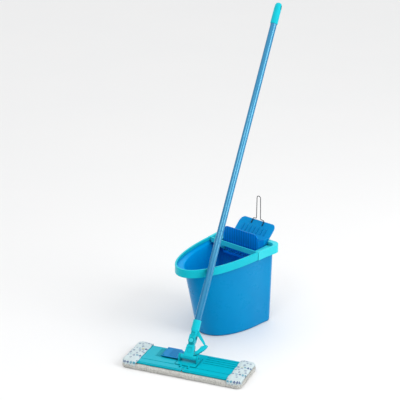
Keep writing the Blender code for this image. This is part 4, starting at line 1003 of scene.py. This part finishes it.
class STAGE_OT_studio(bpy.types.Operator):
    """Lay the pale floor and set up the softboxes, the even light and the camera"""

    bl_idname = "mopbucket.studio"
    bl_label = "Studio"

    def execute(self, context):
        s = context.scene.mop_bucket_stage
        scene = context.scene
        w = s.floor_size / 2
        corners = [(-w, -w, 0), (w, -w, 0), (w, w, 0), (-w, w, 0)]
        floor = make_piece("floor", corners, [[[0, 1, 2, 3]]], smooth=False)
        g = Graph("Pale floor")
        tone = g.mix(g.noise(2.0), (0.90, 0.90, 0.90, 1), (0.88, 0.885, 0.89, 1))
        floor.data.materials.append(g.out(Base_Color=tone, Roughness=0.55, Specular_IOR_Level=0.2))
        world = bpy.data.worlds.new("Even light")
        world.use_nodes = True
        back = world.node_tree.nodes["Background"]
        back.inputs["Color"].default_value = (1.0, 1.0, 1.0, 1.0)
        back.inputs["Strength"].default_value = s.sky
        scene.world = world
        aim = Vector(LIGHT_AIM)
        for label, place, size, power in (("Key softbox", (0.5, -2.8, 1.8), (1.7, 2.2), s.key_power),
                                          ("Left softbox", (-1.9, -0.6, 2.6), (0.8, 0.8), s.side_power),
                                          ("Ceiling panel", (5.0, 4.0, 7.0), (28.0, 28.0), s.ceiling_power)):
            light = bpy.data.lights.new(label, "AREA")
            light.shape, light.size, light.size_y = "RECTANGLE", *size
            light.energy = power
            lamp = bpy.data.objects.new(label, light)
            lamp.location = place
            if label != "Ceiling panel":
                lamp.rotation_euler = (aim - lamp.location).to_track_quat("-Z", "Y").to_euler()
            scene.collection.objects.link(lamp)
        camera = bpy.data.objects.new("Camera", bpy.data.cameras.new("Camera"))
        camera.data.lens, camera.data.sensor_width = s.lens, 36.0
        camera.data.clip_end = 200.0
        camera.location = CAMERA_AT
        level = math.cos(CAMERA_DIP)
        look = Vector((level * CAMERA_HEADING[0], level * CAMERA_HEADING[1], -math.sin(CAMERA_DIP)))
        camera.rotation_euler = look.to_track_quat("-Z", "Y").to_euler()
        scene.collection.objects.link(camera)
        scene.camera = camera
        scene.view_settings.view_transform = "Standard"
        return {"FINISHED"}


class VIEW3D_PT_mop_bucket(bpy.types.Panel):
    """Buttons for each piece of the mop and bucket"""

    bl_label = "Mop and Bucket"
    bl_idname = "VIEW3D_PT_mop_bucket"
    bl_space_type = "VIEW_3D"
    bl_region_type = "UI"
    bl_category = "Mop Bucket"

    def draw(self, context):
        for operator in OPERATORS:
            self.layout.operator(operator.bl_idname)


SETTINGS = {"mop_bucket_bucket": BucketSettings, "mop_bucket_mop": MopSettings,
            "mop_bucket_stage": StageSettings}
OPERATORS = (BUCKET_OT_body, BUCKET_OT_rim, BUCKET_OT_jaws, MOP_OT_head, MOP_OT_handle, MOP_OT_pads,
             MOP_OT_pockets, STAGE_OT_studio)
CLASSES = (*SETTINGS.values(), *OPERATORS, VIEW3D_PT_mop_bucket)


def register():
    for cls in CLASSES:
        bpy.utils.register_class(cls)
    for name, group in SETTINGS.items():
        setattr(bpy.types.Scene, name, PointerProperty(type=group))


def unregister():
    for name in SETTINGS:
        delattr(bpy.types.Scene, name)
    for cls in reversed(CLASSES):
        bpy.utils.unregister_class(cls)


def main():
    register()
    for operator in OPERATORS:
        group, name = operator.bl_idname.split(".")
        getattr(getattr(bpy.ops, group), name)()


if __name__ == "__main__":
    main()
